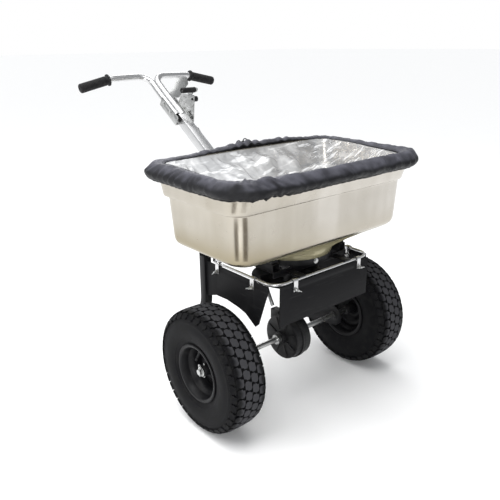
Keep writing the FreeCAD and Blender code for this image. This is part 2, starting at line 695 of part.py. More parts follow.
def axle_plate(word, side):
    """A flat plate that reaches from the leg to the axle's bush, which is given back."""
    start = "leg_offset + tube / 2 + 0.1"
    place = start if side > 0 else f"-({start}) - plate"
    arm = plate(f"Plate_{word}", "YZ_Plane", [
        ("0", "wheel_radius - plate_round"), ("leg_setback + 62", "wheel_radius - 66"),
        ("leg_setback + 54", "wheel_radius - 24"), ("10", "wheel_radius + plate_round - 2"),
    ], "plate")
    put(arm, (place, "0", "0"))
    disc = rod("plate_round", "plate", (place, "0", "wheel_radius"), "x")
    hole = rod("axle_radius + 6", "60", (f"({place}) - 30", "0", "wheel_radius"), "x")
    keep(f"{word}_axle_plate", cut(fuse(arm, disc), hole))
    sleeve = rod("axle_radius + 5.9", "plate + 4", (f"({place}) - 2", "0", "wheel_radius"), "x")
    lip_place = f"({place}) + plate + 0.1" if side > 0 else f"({place}) - 3.1"
    lip = rod("axle_radius + 11", "3", (lip_place, "0", "wheel_radius"), "x")
    bore = rod("axle_radius + running_gap", "60", (f"({place}) - 20", "0", "wheel_radius"), "x")
    return cut(fuse(sleeve, lip), bore)


# ---- hopper -----------------------------------------------------------------------------------

def hopper():
    body = new_body("Hopper")
    edge = "hopper_corner"
    upper = [("band_bottom", "band_half", "band_front", "band_back", edge),
             ("rim_top", "rim_half", "rim_front", "rim_back", f"{edge} + 6")]
    lower = [("floor_edge", "floor_half", "floor_front", "floor_back", f"{edge} - 6"),
             ("band_bottom", "band_half - band_step", "band_front - 4", "band_back - band_step", edge)]
    pan = [("outlet_height", "outlet_radius", "outlet_radius", "outlet_radius", "outlet_radius - 1"),
           ("floor_edge - 10", "floor_half - 14", "floor_front - 12", "floor_back - 12", f"{edge} - 10"),
           ("floor_edge", "floor_half", "floor_front", "floor_back", f"{edge} - 6")]
    loft(body, "AdditiveLoft", lower)
    loft(body, "AdditiveLoft", upper)
    loft(body, "AdditiveLoft", pan)
    wall = "hopper_wall"

    def inset(sections):
        return [(height, f"{half} - {wall}", f"{front} - {wall}", f"{back} - {wall}", f"{corner} - {wall}")
                for height, half, front, back, corner in sections]

    inner_upper = inset(upper)
    inner_lower = inset(lower)
    inner_pan = [(f"{section[0]} + 2",) + section[1:] for section in inset(pan)]
    inner_pan[2] = inner_lower[0]
    inner_pan[1] = ("floor_edge - 7",) + inner_pan[1][1:]
    inner_lower[1] = ("band_bottom + 2",) + inner_lower[1][1:]
    inner_upper[0] = ("band_bottom + 2",) + inner_upper[0][1:]
    loft(body, "SubtractiveLoft", inner_lower)
    loft(body, "SubtractiveLoft", inner_upper)
    loft(body, "SubtractiveLoft", inner_pan)
    # The floor is open in the middle, over the outlet plate.
    opening = rod("outlet_radius - 16", "12", ("0", "0", "outlet_height - 5"), "z")
    keep("hopper", cut(body, opening))


def port_places(turn):
    """The three round outlets lie on one circle, at the front."""
    middle = -90 + turn
    return [
        (f"port_circle * cos({middle} deg + {step} * port_spacing * 1 deg)",
         f"port_circle * sin({middle} deg + {step} * port_spacing * 1 deg)")
        for step in (-1, 0, 1)
    ]


def radial_rod(radius, length, start, turn):
    """A round bar at the outlet cup that points away from the shaft."""
    item = doc.addObject("Part::Cylinder", "Rod")
    bind(item, Radius=radius, Height=length)
    middle = turn.multVec(V(size(start), 0, 0)) + V(0, 0, size("skirt_bottom + 8"))
    item.Placement = FreeCAD.Placement(middle, turn.multiply(ALONG_X))
    return item


def outlet():
    height = "outlet_height - skirt_bottom"
    cup = cut(
        rod("outlet_radius", height, ("0", "0", "skirt_bottom"), "z"),
        rod("outlet_radius - cup_wall", f"{height} - cup_wall", ("0", "0", "skirt_bottom"), "z"),
        rod("shaft_radius + 1", "80", ("0", "0", "skirt_bottom"), "z"),
        box(("110", "60", "12"), ("-55", "outlet_radius - 40", "outlet_height - 16")),
        *[rod("port_radius", "40", (across, along, "outlet_height - 20"), "z")
          for across, along in port_places(0)],
    )
    keepers, bolts, holes = [], [], []
    for index in range(3):
        bolt_turn = FreeCAD.Rotation(V(0, 0, 1), 263 + 120 * index)
        holes.append(radial_rod("bolt_radius + running_gap", "20", "outlet_radius - 10", bolt_turn))
        bolts.append(fuse(radial_rod("bolt_radius", "cup_wall + 2", "outlet_radius - cup_wall", bolt_turn),
                          radial_rod("6", "4", "outlet_radius + 0.2", bolt_turn)))
        turn = FreeCAD.Rotation(V(0, 0, 1), 300 + 120 * index)
        middle = turn.multVec(V(size("outlet_radius - 10.5"), 0, 0))
        height = "shutter_top - shutter_thickness - 1.8"
        keepers.append(centred_box(("14", "18", "3"), (f"{middle.x}", f"{middle.y}", height), turn))
    keep("outlet_plate", fuse(cut(cup, *holes), *keepers))
    keep("outlet_bolts", fuse(*bolts))
    body = new_body("Shutter")
    sketch = sketch_on(body, "XY_Plane")
    circle(sketch, ("0", "0"), "shutter_radius")
    circle(sketch, ("0", "0"), "shaft_radius + 4")
    for across, along in port_places(28):
        circle(sketch, (across, along), "port_radius")
    pad(body, sketch, "shutter_thickness")
    turn = FreeCAD.Rotation(V(0, 0, 1), 14)
    arm = doc.addObject("Part::Box", "Arm")
    bind(arm, Length="20", Width="56", Height="shutter_thickness")
    arm.Placement = FreeCAD.Placement(turn.multVec(V(-10, size("shutter_radius - 6"), 0)), turn)
    pin = rod("3", "12", ("-35.5", "142.5", "0"), "z")
    plate_and_arm = fuse(body, arm, pin)
    put(plate_and_arm, ("0", "0", "shutter_top - shutter_thickness"))
    keep("shutter", plate_and_arm)
    blocks = [
        box(("tube", "36", "outlet_height - deck_bottom - tube"),
            (f"{side} * rail_offset - tube / 2", f"{along} - 18", "deck_bottom + tube"))
        for side in (-1, 1) for along in (-60, 60)
    ]
    keep("hopper_blocks", fuse(*blocks))


# ---- rain cover ----------------------------------------------------------------------------------

def rounded_slab(name, low, high, half, front, back, corner):
    """A block with upright round corners between two heights."""
    body = new_body(name)
    sketch = sketch_on(body, "XY_Plane", low)
    rounded_rectangle(sketch, half, front, back, corner)
    pad(body, sketch, f"{high} - ({low})")
    return body


def rain_cover():
    """A cloth border that hangs over the rim, and a flexible window set in its top."""
    outside = rounded_slab("Cover", "cover_skirt_bottom", "cover_top", "cover_half", "cover_front",
                           "cover_back", "cover_corner")
    inside = rounded_slab("Cover_inside", "cover_skirt_bottom - 5", "rim_top + 0.4",
                          "cover_half - cover_wall", "cover_front - cover_wall",
                          "cover_back - cover_wall", "cover_corner - cover_wall")
    opening = rounded_slab("Cover_opening", "rim_top - 6", "cover_top + 4", "window_half",
                           "window_front", "window_back", "window_corner")
    keep("cover_border", cut(outside, inside, opening))
    pane = rounded_slab("Pane", "cover_top - window_thickness", "cover_top", "window_half - 0.1",
                        "window_front - 0.1", "window_back - 0.1", "window_corner - 0.1")
    keep("cover_window", put(pane, ("0", "0", "0")))


# ---- handle ------------------------------------------------------------------------------------------

def stem_height(setback):
    """Height of the middle line of the stem and the bars at a setback."""
    return size("joint_height") - size("stem_fall") * (size("joint_setback") - setback)


def handle():
    knee = size("stem_slope_start")
    radius, wall, end = size("bar_radius"), size("bar_wall"), size("bars_end")
    for side, word in ((-1, "left"), (1, "right")):
        gap = side * size("bar_gap")
        route = rounded_route([
            V(side * size("grip_outer"), size("grip_setback"), size("bar_height - grip_drop")),
            V(side * size("grip_inner"), size("grip_setback"), size("bar_height")),
            V(gap, size("grip_setback"), size("bar_height + 2")),
            V(gap, knee + 8, stem_height(knee) + 4),
            V(gap, end, stem_height(end)),
        ], [120, 42, 150])
        bar = solid(swept(route, radius).cut(swept(route, radius - wall)))
        keep(f"{word}_handlebar", cut(bar, *joint_bolt_holes()))
        grip(word, side)
    foot, top = size("stem_foot_setback"), size("stem_foot_top")
    start = V(0, size("stem_end"), stem_height(size("stem_end")))
    low = size("deck_bottom + tube")
    route = rounded_route([start, V(0, foot, top), V(0, foot, low)], [70])
    side = size("stem_tube")
    keep("lower_stem", solid(swept_square(route, side).cut(swept_square(route, side - 4))))
    keep("stem_bracket", box(("60", "58", "tube"), ("-30", "leg_setback + tube / 2", "deck_bottom")))
    joint_clamp()


def grip(word, side):
    """A ribbed rubber grip with a flange at its inner end, along the bar's sloping end."""
    inner = V(side * size("grip_inner"), size("grip_setback"), size("bar_height"))
    outer = V(side * size("grip_outer"), size("grip_setback"), size("bar_height - grip_drop"))
    along = (outer - inner).normalize()
    turn = FreeCAD.Rotation(V(0, 0, 1), along)
    length = (outer - inner).Length
    pieces = [doc.addObject("Part::Cylinder", "Grip"), doc.addObject("Part::Cylinder", "Flange")]
    bind(pieces[0], Radius="grip_radius", Height=f"{length - 10}")
    bind(pieces[1], Radius="grip_flange_radius", Height="5")
    offsets = (14, 12)
    for piece, offset in zip(pieces, offsets):
        piece.Placement = FreeCAD.Placement(inner + along * offset, turn)
    for index in range(7):
        ring = doc.addObject("Part::Torus", "Rib")
        bind(ring, Radius1="grip_radius - 0.4", Radius2="1.2")
        ring.Placement = FreeCAD.Placement(inner + along * (28 + 12 * index), turn)
        pieces.append(ring)
    hole = doc.addObject("Part::Cylinder", "Bore")
    bind(hole, Radius="bar_radius", Height=f"{length - 12}")
    hole.Placement = FreeCAD.Placement(inner + along * 12, turn)
    keep(f"{word}_grip", cut(fuse(*pieces), hole))


JOINT_BOLTS = (556, 593)


def joint_bolt_holes():
    return [
        rod("bolt_radius + running_gap", "80", ("-40", f"{setback}", f"{stem_height(setback)}"), "x")
        for setback in JOINT_BOLTS
    ]


def joint_clamp():
    """A channel under the bars' lower ends and the stem's top, with two bolts across it."""
    tilt = FreeCAD.Rotation(V(1, 0, 0), math.degrees(math.atan(size("stem_fall"))))
    middle = V(0, 565, stem_height(565))
    width = 2 * size("bar_gap + bar_radius") + 0.6
    outer = centred_turned((width + 6, 109, 31), middle + tilt.multVec(V(0, 0, -4.4)), tilt)
    inner = centred_turned((width, 120, 35), middle + tilt.multVec(V(0, 0, 0.6)), tilt)
    keep("joint_channel", cut(outer, inner, *joint_bolt_holes()))
    side = "bar_gap + bar_radius + 3.3"
    bolts = []
    for setback in JOINT_BOLTS:
        height = f"{stem_height(setback)}"
        bolts += [
            rod("bolt_radius", f"({side}) * 2 + 7", (f"-({side}) - 0.1", f"{setback}", height), "x"),
            rod("5.5", "4", (f"-({side}) - 4.1", f"{setback}", height), "x"),
            rod("5.5", "3.5", (f"{side} + 3.5", f"{setback}", height), "x"),
        ]
    keep("joint_bolts", fuse(*bolts))


def centred_turned(lengths, middle, rotation):
    return centred_box([f"{length}" for length in lengths],
                       [f"{value}" for value in middle], rotation)


# ---- controls ----------------------------------------------------------------------------------

def controls():
    start = "bar_gap + bar_radius + 3.6"
    pivot = ("lever_pivot_setback", "lever_pivot_height")
    bolt = (f"{JOINT_BOLTS[0]}", f"{stem_height(JOINT_BOLTS[0])}")
    gauge = plate("Gauge", "YZ_Plane", [
        ("501", "756"), ("585", "811"), ("586", "828"), ("566", "858"), ("556", "861"), ("492", "859"),
        ("490", "852"),
    ], "gauge_plate", [(pivot, "4.1"), (("500", "846"), "4.1"), (bolt, "bolt_radius + 0.1")])
    keep("gauge_plate", put(gauge, (start, "0", "0")))
    screw = fuse(
        rod("4", "12", (f"{start} - 1", "lever_pivot_setback", "lever_pivot_height"), "x"),
        rod("7", "4", (f"{start} + 11", "lever_pivot_setback", "lever_pivot_height"), "x"),
    )
    keep("lever_pivot_bolt", screw)
    lean = math.radians(size("lever_lean"))
    reach = size("lever_reach")
    end = (size(pivot[0]) + reach * math.cos(lean), size(pivot[1]) + reach * math.sin(lean))
    turn = FreeCAD.Rotation(V(1, 0, 0), size("lever_lean"))
    lever_start = size(f"{start} + gauge_plate + 1")
    middle = V(lever_start + 2, (size(pivot[0]) + end[0]) / 2, (size(pivot[1]) + end[1]) / 2)
    bar = centred_turned((size("lever_bar"), reach, 16), middle, turn)
    eye = rod("9", "lever_bar", (f"{lever_start}", pivot[0], pivot[1]), "x")
    hole = rod("4 + running_gap", "20", (f"{lever_start - 5}", pivot[0], pivot[1]), "x")
    # A round bar crosses the lever's end and carries the grip and a plated cap.
    end_place = (f"{end[0]}", f"{end[1]}")
    core = rod("4", "lever_grip_length + 2", ("-lever_grip_start + 2", *end_place), "x")
    cap = rod("8", "6", ("lever_grip_length - lever_grip_start + 0.1", *end_place), "x")
    keep("lever", cut(fuse(bar, eye, core, cap), hole))
    sleeve = rod("lever_grip_radius", "lever_grip_length", ("-lever_grip_start", *end_place), "x")
    keep("lever_grip", cut(sleeve, bar, core))
    knob = fuse(
        rod("knob_radius", "14", (f"{start} + gauge_plate + 1", "500", "846"), "x"),
        rod("4", "10", (f"{start} - 2", "500", "846"), "x"),
    )
    keep("rate_knob", knob)
    # The gusset lies in the bars' plane and ties the right bar's level part to its slope.
    corner = plate("Gusset", "XY_Plane", [
        ("22.6", "27"), ("50", "27"), ("71", "46"), ("129", "95"), ("146", "133"), ("106", "133"),
        ("55", "79"), ("22.6", "56"),
    ], "2.4")
    foot = V(0, 592, stem_height(592) - 1.2)
    tilt = FreeCAD.Rotation(V(1, 0, 0), math.degrees(math.atan(size("stem_fall"))))
    corner.Placement = FreeCAD.Placement(foot, tilt)
    places[corner.Name] = f"{foot.y}"
    keep("gusset", corner)
    cable()


def cable():
    points = [
        V(33, 486, 752), V(26, 430, 712), V(21, 372, 672), V(21, 318, 636), V(24, 262, 590),
        V(40, 234, 548), V(70, 222, 516), V(104, 206, 494), V(114, 178, 478), V(92, 160, 474),
        V(62, 158, 474),
    ]
    runs = [(second - first).Length for first, second in zip(points, points[1:])]
    bends = []
    for index in range(1, len(points) - 1):
        turn = math.pi - (points[index - 1] - points[index]).getAngle(points[index + 1] - points[index])
        bends.append(0.45 * min(runs[index - 1], runs[index]) / math.tan(turn / 2))
    print("cable bends", [round(bend) for bend in bends])
    route = rounded_route(points, bends)
    sheath = swept(route, size("cable_radius"))
    print("cable volume over section times length",
          sheath.Volume / (math.pi * size("cable_radius") ** 2 * route.Length))
    keep("cable_sheath", solid(sheath))
    stop = cut(box(("3", "tube", "20"), ("57", "leg_setback - tube / 2", "deck_bottom + tube")),
               rod("1.6", "20", ("50", "158", "474"), "x"))
    keep("cable_stop", stop)


def main():
    wheels_and_axle()
    gear_case()
    crown_gear()
    pinion()
    spinner()
    deflector_rod()
    deflectors()
    frame()
    hopper()
    outlet()
    rain_cover()
    handle()
    controls()
    doc.recompute()
    for item in doc.Objects:
        if "Invalid" in item.State or "Error" in item.State:
            raise RuntimeError(f"{item.Name} {item.Label} failed: {item.State}")
    os.makedirs("parts", exist_ok=True)
    for item in subparts:
        shape = item.Shape
        if shape.isNull() or not shape.isValid() or shape.Volume <= 0:
            raise RuntimeError(f"{item.Label} has no valid shape")
        if len(shape.Solids) != 1:
            print("solids in", item.Label, len(shape.Solids))
        shape.exportStep(f"parts/{item.Label}.step")
    print("sub-parts written", len(subparts))


main()
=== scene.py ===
# %% [markdown]
# # A walk-behind spreader
# This lesson dresses the fixed mechanical frame of a walk-behind spreader. The frame is never moved: bolts,
# sheets, rims and rails stay where the mechanics put them, and the looks are built around them. All lengths
# are metres. X runs along the axle, -Y is the front and Z is up.

# %% Load the frame
import json
import math

import bmesh
import bpy
from mathutils import Matrix, Vector, noise


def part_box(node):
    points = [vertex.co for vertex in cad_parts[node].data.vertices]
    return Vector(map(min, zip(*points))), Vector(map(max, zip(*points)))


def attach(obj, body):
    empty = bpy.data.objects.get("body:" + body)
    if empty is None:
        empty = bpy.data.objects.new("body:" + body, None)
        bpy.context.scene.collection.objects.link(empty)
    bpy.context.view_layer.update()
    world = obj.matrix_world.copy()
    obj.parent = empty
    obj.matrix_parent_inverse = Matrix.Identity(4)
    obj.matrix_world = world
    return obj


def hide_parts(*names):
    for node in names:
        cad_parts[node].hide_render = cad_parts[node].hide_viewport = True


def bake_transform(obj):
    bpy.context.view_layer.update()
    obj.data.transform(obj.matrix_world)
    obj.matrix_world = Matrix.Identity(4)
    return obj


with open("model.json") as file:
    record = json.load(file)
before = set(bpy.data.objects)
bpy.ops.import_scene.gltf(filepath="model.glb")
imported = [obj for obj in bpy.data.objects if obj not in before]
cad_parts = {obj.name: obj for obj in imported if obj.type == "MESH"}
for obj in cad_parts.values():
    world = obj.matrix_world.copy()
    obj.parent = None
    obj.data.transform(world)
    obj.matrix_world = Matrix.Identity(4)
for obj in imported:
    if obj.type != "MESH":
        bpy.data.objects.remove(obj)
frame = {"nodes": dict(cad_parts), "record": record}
scene = bpy.context.scene
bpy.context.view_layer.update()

# %% [markdown]
# Most places on the machine are measured from its axle, so the axle's middle line is read from the frame
# once. `at` turns a place measured from the axle line, in millimetres, into a place in the frame. Millimetres
# are what a maker would measure on the bench, and the axle line is where they would hook the tape.

# %% The axle line
axle_low, axle_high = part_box("axle")
AXLE_Y = (axle_low.y + axle_high.y) / 2
AXLE_Z = (axle_low.z + axle_high.z) / 2
MM = 0.001


def at(across, along, up):
    """A place in the frame from millimetres: along is measured from the axle line."""
    return Vector((across * MM, AXLE_Y + along * MM, up * MM))


def add_object(name, data):
    """A new object in the scene."""
    made = bpy.data.objects.new(name, data)
    scene.collection.objects.link(made)
    return made


print("axle line at y", round(AXLE_Y, 4), "z", round(AXLE_Z, 4))

# %% [markdown]
# ## Camera and studio
# A small machine like this is shown on a pale sweep under big soft lamps. The camera stands a little above
# the hopper, off its front left corner. A long lens keeps the two wheels close in size.

# %% Camera
CAMERA_PLACE = at(-1123.3, -1145.7, 1022.9)
CAMERA_YAW = 39.64
CAMERA_PITCH = 20.49
CAMERA_ROLL = -0.69

camera_data = bpy.data.cameras.new("studio_camera")
camera_data.sensor_width = 36
camera_data.lens = 41.97
camera_data.shift_x = 0.0122
camera_data.shift_y = 0.0188
camera = add_object("studio_camera", camera_data)
camera_turn = (Matrix.Rotation(math.radians(-CAMERA_YAW), 4, "Z")
               @ Matrix.Rotation(math.radians(90 - CAMERA_PITCH), 4, "X")
               @ Matrix.Rotation(math.radians(CAMERA_ROLL), 4, "Z"))
camera.matrix_world = Matrix.Translation(CAMERA_PLACE) @ camera_turn
scene.camera = camera

# %% [markdown]
# The satin hopper and the plated tubes show what is around them, so the lamps are large and soft. A sun with
# a very wide disc lights the sweep evenly out to the horizon, and a tall, narrow lamp faces the hopper's round
# front corner. The world is white where it is seen and dimmer where it only lights, so the sweep stays white
# and black parts stay black. "Standard" view keeps both as they are.

# %% Lamps and world


def soft_lamp(name, place, target, width, height, power):
    """A rectangular lamp at a place that faces a target and isn't seen itself."""
    data = bpy.data.lights.new(name, "AREA")
    data.shape = "RECTANGLE"
    data.size, data.size_y, data.energy = width, height, power
    lamp = add_object(name, data)
    lamp.location = place
    lamp.rotation_euler = (Vector(target) - Vector(place)).to_track_quat("-Z", "Y").to_euler()
    lamp.visible_camera = False


MIDDLE = (0, 0, 0.5)
soft_lamp("corner_lamp", (-1.75, -1.75, 0.85), (0, -0.1, 0.55), 0.22, 1.3, 16)
soft_lamp("top_lamp", (-0.5, -0.7, 2.6), MIDDLE, 1.8, 1.4, 26)
soft_lamp("left_lamp", (-3.0, 0.9, 1.6), MIDDLE, 1.0, 1.8, 16)
soft_lamp("back_lamp", (1.6, 2.4, 2.0), MIDDLE, 1.4, 1.2, 18)

sun_data = bpy.data.lights.new("wide_sun", "SUN")
sun_data.energy = 2.25
sun_data.angle = math.radians(70)
sun = add_object("wide_sun", sun_data)
sun.rotation_euler = (math.radians(-18), math.radians(-14), 0)

world = bpy.data.worlds.new("studio_world")
world.use_nodes = True
studio = world.node_tree
seen_sky = studio.nodes["Background"]
lighting_sky = studio.nodes.new("ShaderNodeBackground")
SKIES = ((seen_sky, (1.0, 1.0, 1.0, 1), 1.0), (lighting_sky, (0.96, 0.98, 1.0, 1), 0.42))
for sky, colour, strength in SKIES:
    sky.inputs["Color"].default_value = colour
    sky.inputs["Strength"].default_value = strength
ray_kind = studio.nodes.new("ShaderNodeLightPath")
either = studio.nodes.new("ShaderNodeMixShader")
studio.links.new(ray_kind.outputs["Is Camera Ray"], either.inputs[0])
studio.links.new(lighting_sky.outputs[0], either.inputs[1])
studio.links.new(seen_sky.outputs[0], either.inputs[2])
studio.links.new(either.outputs[0], studio.nodes["World Output"].inputs["Surface"])
scene.world = world
scene.view_settings.view_transform = "Standard"

# %% [markdown]
# ## A small language for finishes
# A finish is a sum on numbers: how worn, how dusty, how rough. Drawing such sums as boxes and wires is slow
# to read, so one small class wraps a socket and lets Python's own operators add the Math nodes. `node` adds
# any other node: its settings are set first, then the values or wires of its sockets.

# %% The Wire class


def operator(operation, flipped=False):
    """The method for one of Python's operators; flipped is for a number on the left."""
    def method(self, other):
        return self.sum(operation, other, self) if flipped else self.sum(operation, self, other)
    return method


class Wire:
    """A socket of a material that can be used in a Python expression."""

    def __init__(self, tree, socket=None):
        self.tree = tree
        self.socket = socket

    def node(self, kind, settings=None, values=None, output=0):
        made = self.tree.nodes.new(kind)
        for name, value in (settings or {}).items():
            setattr(made, name, value)
        for name, value in (values or {}).items():
            if isinstance(value, Wire):
                self.tree.links.new(value.socket, made.inputs[name])
            else:
                made.inputs[name].default_value = value
        return Wire(self.tree, made.outputs[output])

    def sum(self, operation, first, second):
        return self.node("ShaderNodeMath", {"operation": operation}, {0: first, 1: second})

    __add__, __radd__ = operator("ADD"), operator("ADD", True)
    __sub__, __rsub__ = operator("SUBTRACT"), operator("SUBTRACT", True)
    __mul__, __pow__ = operator("MULTIPLY"), operator("POWER")

    def between(self, low, high):
        """0 below low, 1 above high, and a smooth step from one to the other."""
        return self.node("ShaderNodeMapRange", {"interpolation_type": "SMOOTHSTEP"},
                         {"Value": self, "From Min": low, "From Max": high})


# %% [markdown]
# Every finish starts the same way: a Principled shader, the piece's own coordinates in metres, and a few
# noises of a stated grain size. Grain is given in millimetres, so a 2 mm grain is 2 mm on a bolt and on the
# hopper alike.

# %% Starting a finish


class Finish:
    """A material with its shader, its place wire and helpers for noise and bump."""

    def __init__(self, name, colour, roughness, metallic=0.0, **fixed):
        self.material = bpy.data.materials.new(name)
        self.material.use_nodes = True
        self.tree = self.material.node_tree
        self.shader = self.tree.nodes["Principled BSDF"]
        self.wire = Wire(self.tree)
        self.place = self.wire.node("ShaderNodeTexCoord", output="Object")
        self.set("Base Color", (*colour, 1))
        self.set("Roughness", roughness)
        self.set("Metallic", metallic)
        for socket, value in fixed.items():
            self.set(socket.replace("_", " "), value)

    def set(self, socket, value):
        if isinstance(value, Wire):
            self.tree.links.new(value.socket, self.shader.inputs[socket])
        else:
            self.shader.inputs[socket].default_value = value

    def mixed(self, factor, first, second):
        """From one colour to another by a factor from 0 to 1."""
        made = self.tree.nodes.new("ShaderNodeMix")
        made.data_type = "RGBA"
        for index, value in ((0, factor), (6, first), (7, second)):
            if isinstance(value, Wire):
                self.tree.links.new(value.socket, made.inputs[index])
            else:
                made.inputs[index].default_value = (*value, 1)
        return Wire(self.tree, made.outputs[2])

    def colours(self, factor, first, second):
        self.set("Base Color", self.mixed(factor, first, second))

    def stretched(self, across, along, up, turn=0.0):
        """The place, with some directions packed closer: a bigger number is a finer grain."""
        values = {"Vector": self.place, "Rotation": (0, 0, turn), "Scale": (across, along, up)}
        return self.wire.node("ShaderNodeMapping", None, values)

    def grain(self, size_mm, detail=3.0, place=None):
        values = {"Vector": place or self.place, "Scale": 1000 / size_mm, "Detail": detail}
        return self.wire.node("ShaderNodeTexNoise", None, values)

    def cells(self, size_mm, output="Distance"):
        values = {"Vector": self.place, "Scale": 1000 / size_mm}
        return self.wire.node("ShaderNodeTexVoronoi", None, values, output)

    def apart(self, vector=None):
        """The three coordinates of the place as wires."""
        made = self.tree.nodes.new("ShaderNodeSeparateXYZ")
        self.tree.links.new((vector or self.place).socket, made.inputs[0])
        return [Wire(self.tree, output) for output in made.outputs]

    def bump(self, height, depth_mm):
        values = {"Height": height, "Distance": depth_mm * MM, "Strength": 1.0}
        self.set("Normal", self.wire.node("ShaderNodeBump", None, values, "Normal"))


# %% [markdown]
# ## Metals
# The hopper is stainless sheet with a satin, drawn grain. The grain runs along the sheet, so noise is packed
# fifty times closer upwards than sideways. Broad, faint clouds stand for handling and for the slight
# waviness of thin sheet, which is what makes stainless look like sheet and not like a casting.

# %% Satin stainless
satin = Finish("satin_stainless", (0.47, 0.43, 0.375), 0.25, 1.0)
drawn = satin.grain(0.9, 4, satin.stretched(0.02, 0.02, 1.0))
clouds = satin.grain(120, 2)
smears = satin.grain(26, 4).between(0.52, 0.75)
satin_across, _, satin_up = satin.apart()
# Painted shade and painted reflection: the sheet is painted browner low down and towards its left end,
# where it would reflect the machinery and the shade.
low_down = 1.0 - satin_up.between(0.495, 0.60)
left_end = 1.0 - satin_across.between(-0.34, 0.05)
painted_shade_side = low_down * 0.45 + left_end * 0.35 + low_down * left_end * 0.35
bands = satin.grain(75, 2, satin.stretched(1.0, 1.0, 0.12)).between(0.35, 0.65)
blotches = clouds.between(0.3, 0.7) * 0.5 + bands * 0.5
satin_unshaded = satin.mixed(blotches, (0.60, 0.57, 0.525), (0.47, 0.44, 0.39))
# Painted reflection: the underside and the neck are painted olive, the colour they would reflect, and made
# less metallic so the lamps light them.
under = 1.0 - satin_up.between(0.500, 0.514)
# Painted shade: the low and left parts of the sheet are mixed towards brown.
satin_shaded = satin.mixed(painted_shade_side, satin_unshaded, (0.30, 0.26, 0.18))
satin.colours(under, satin_shaded, (0.34, 0.31, 0.19))
satin.set("Metallic", 1.0 - under * 0.65)
satin.set("Roughness", 0.17 + drawn * 0.12 + smears * 0.05)
satin.bump(drawn * 0.25 + clouds * 3.5, 0.12)

# %% [markdown]
# The handlebars and the stem are drawn tube with bright plating. Bright plate is nearly a mirror, so its
# finish lives in its roughness: fine marks along the tube, and a few dull spots.

# %% Bright plated tube
bright = Finish("bright_plate", (0.62, 0.62, 0.625), 0.24, 1.0)
spots = bright.grain(7, 5).between(0.60, 0.78)
bright.colours(spots, (0.63, 0.63, 0.635), (0.44, 0.44, 0.43))
bright.set("Roughness", 0.20 + bright.grain(1.2, 2) * 0.10 + spots * 0.16)
bright.bump(bright.grain(0.8, 2), 0.012)

# %% [markdown]
# Bolts, washers, collars and the axle are zinc plated. Zinc is duller and bluer, with a faint spangle and
# darker marks where a tool or a nut has rubbed it. Voronoi cells give the spangle.

# %% Zinc plate
zinc = Finish("zinc_plate", (0.60, 0.605, 0.60), 0.36, 1.0)
spangle = zinc.cells(3.2, "Color")
spangle_value = zinc.wire.node("ShaderNodeRGBToBW", None, {"Color": spangle})
rubbed = zinc.grain(9, 5).between(0.55, 0.72)
zinc.colours(rubbed * 0.8, (0.50, 0.505, 0.50), (0.22, 0.22, 0.21))
zinc.set("Roughness", 0.26 + spangle_value * 0.12 + rubbed * 0.2)
zinc.bump(zinc.grain(0.6, 3), 0.02)

# %% Machined gear steel
steel = Finish("gear_steel", (0.36, 0.36, 0.37), 0.34, 1.0)
film = steel.grain(5, 4).between(0.45, 0.7)
steel.colours(film, (0.42, 0.42, 0.43), (0.22, 0.20, 0.17))
steel.set("Roughness", 0.26 + film * 0.25)
steel.bump(steel.grain(0.5, 2, steel.stretched(1, 1, 0.1)), 0.015)

# %% [markdown]
# ## Paint, plastic and rubber
# The frame is powder coated black. Powder flows into a fine orange peel, so the bump is a smooth noise of
# about two millimetres. Dust settles in broad patches and greys the black a little.

# %% Black powder coat
powder = Finish("black_powder_coat", (0.012, 0.012, 0.013), 0.42, Specular_IOR_Level=0.15)
peel = powder.grain(2.2, 1)
dust = powder.grain(45, 4).between(0.45, 0.8)
powder.colours(dust * 0.5, (0.007, 0.007, 0.008), (0.028, 0.027, 0.026))
powder.set("Roughness", 0.34 + dust * 0.2 + peel * 0.06)
powder.bump(peel, 0.06)

# %% [markdown]
# The deflectors are matt black sheet. Rolled plastic sheet has a leathery grain and long, faint scuffs.
# The scuffs come from a noise packed close in one direction only.

# %% Matt deflector sheet
matt = Finish("matt_sheet", (0.010, 0.010, 0.011), 0.62, Specular_IOR_Level=0.14)
leathery = matt.cells(1.1)
scuffs = matt.grain(14, 4, matt.stretched(0.25, 0.25, 3.0)).between(0.58, 0.74)
matt.colours(scuffs * 0.5, (0.006, 0.006, 0.007), (0.030, 0.030, 0.030))
matt.set("Roughness", 0.55 + leathery * 0.1 + scuffs * 0.12)
matt.bump(leathery + scuffs * 0.6, 0.07)

# %% Moulded plastic
moulded = Finish("moulded_plastic", (0.012, 0.012, 0.013), 0.45, Specular_IOR_Level=0.25)
pebble = moulded.cells(0.8)
shade = moulded.grain(30).between(0.4, 0.7)
moulded.colours(shade, (0.008, 0.008, 0.009), (0.020, 0.020, 0.020))
moulded.set("Roughness", 0.40 + pebble * 0.14)
moulded.bump(pebble, 0.05)

# %% [markdown]
# Grips and feet are soft rubber: duller than plastic, never pure black, and paler where hands polish it.

# %% Grip rubber
rubber = Finish("grip_rubber", (0.010, 0.010, 0.010), 0.66, Specular_IOR_Level=0.25)
handled = rubber.grain(12, 4).between(0.4, 0.75)
rubber.colours(handled, (0.006, 0.006, 0.007), (0.022, 0.021, 0.021))
rubber.set("Roughness", 0.55 + handled * 0.2)
rubber.bump(rubber.grain(0.5, 3), 0.05)

# %% [markdown]
# Tyre rubber is charcoal. The flanks keep a satin from the mould; the treads that meet the lawn are scuffed
# and dusty, so their tops are greyer than the grooves. The distance from the axle line tells the shader which
# is which, and it stays right when the wheel turns.

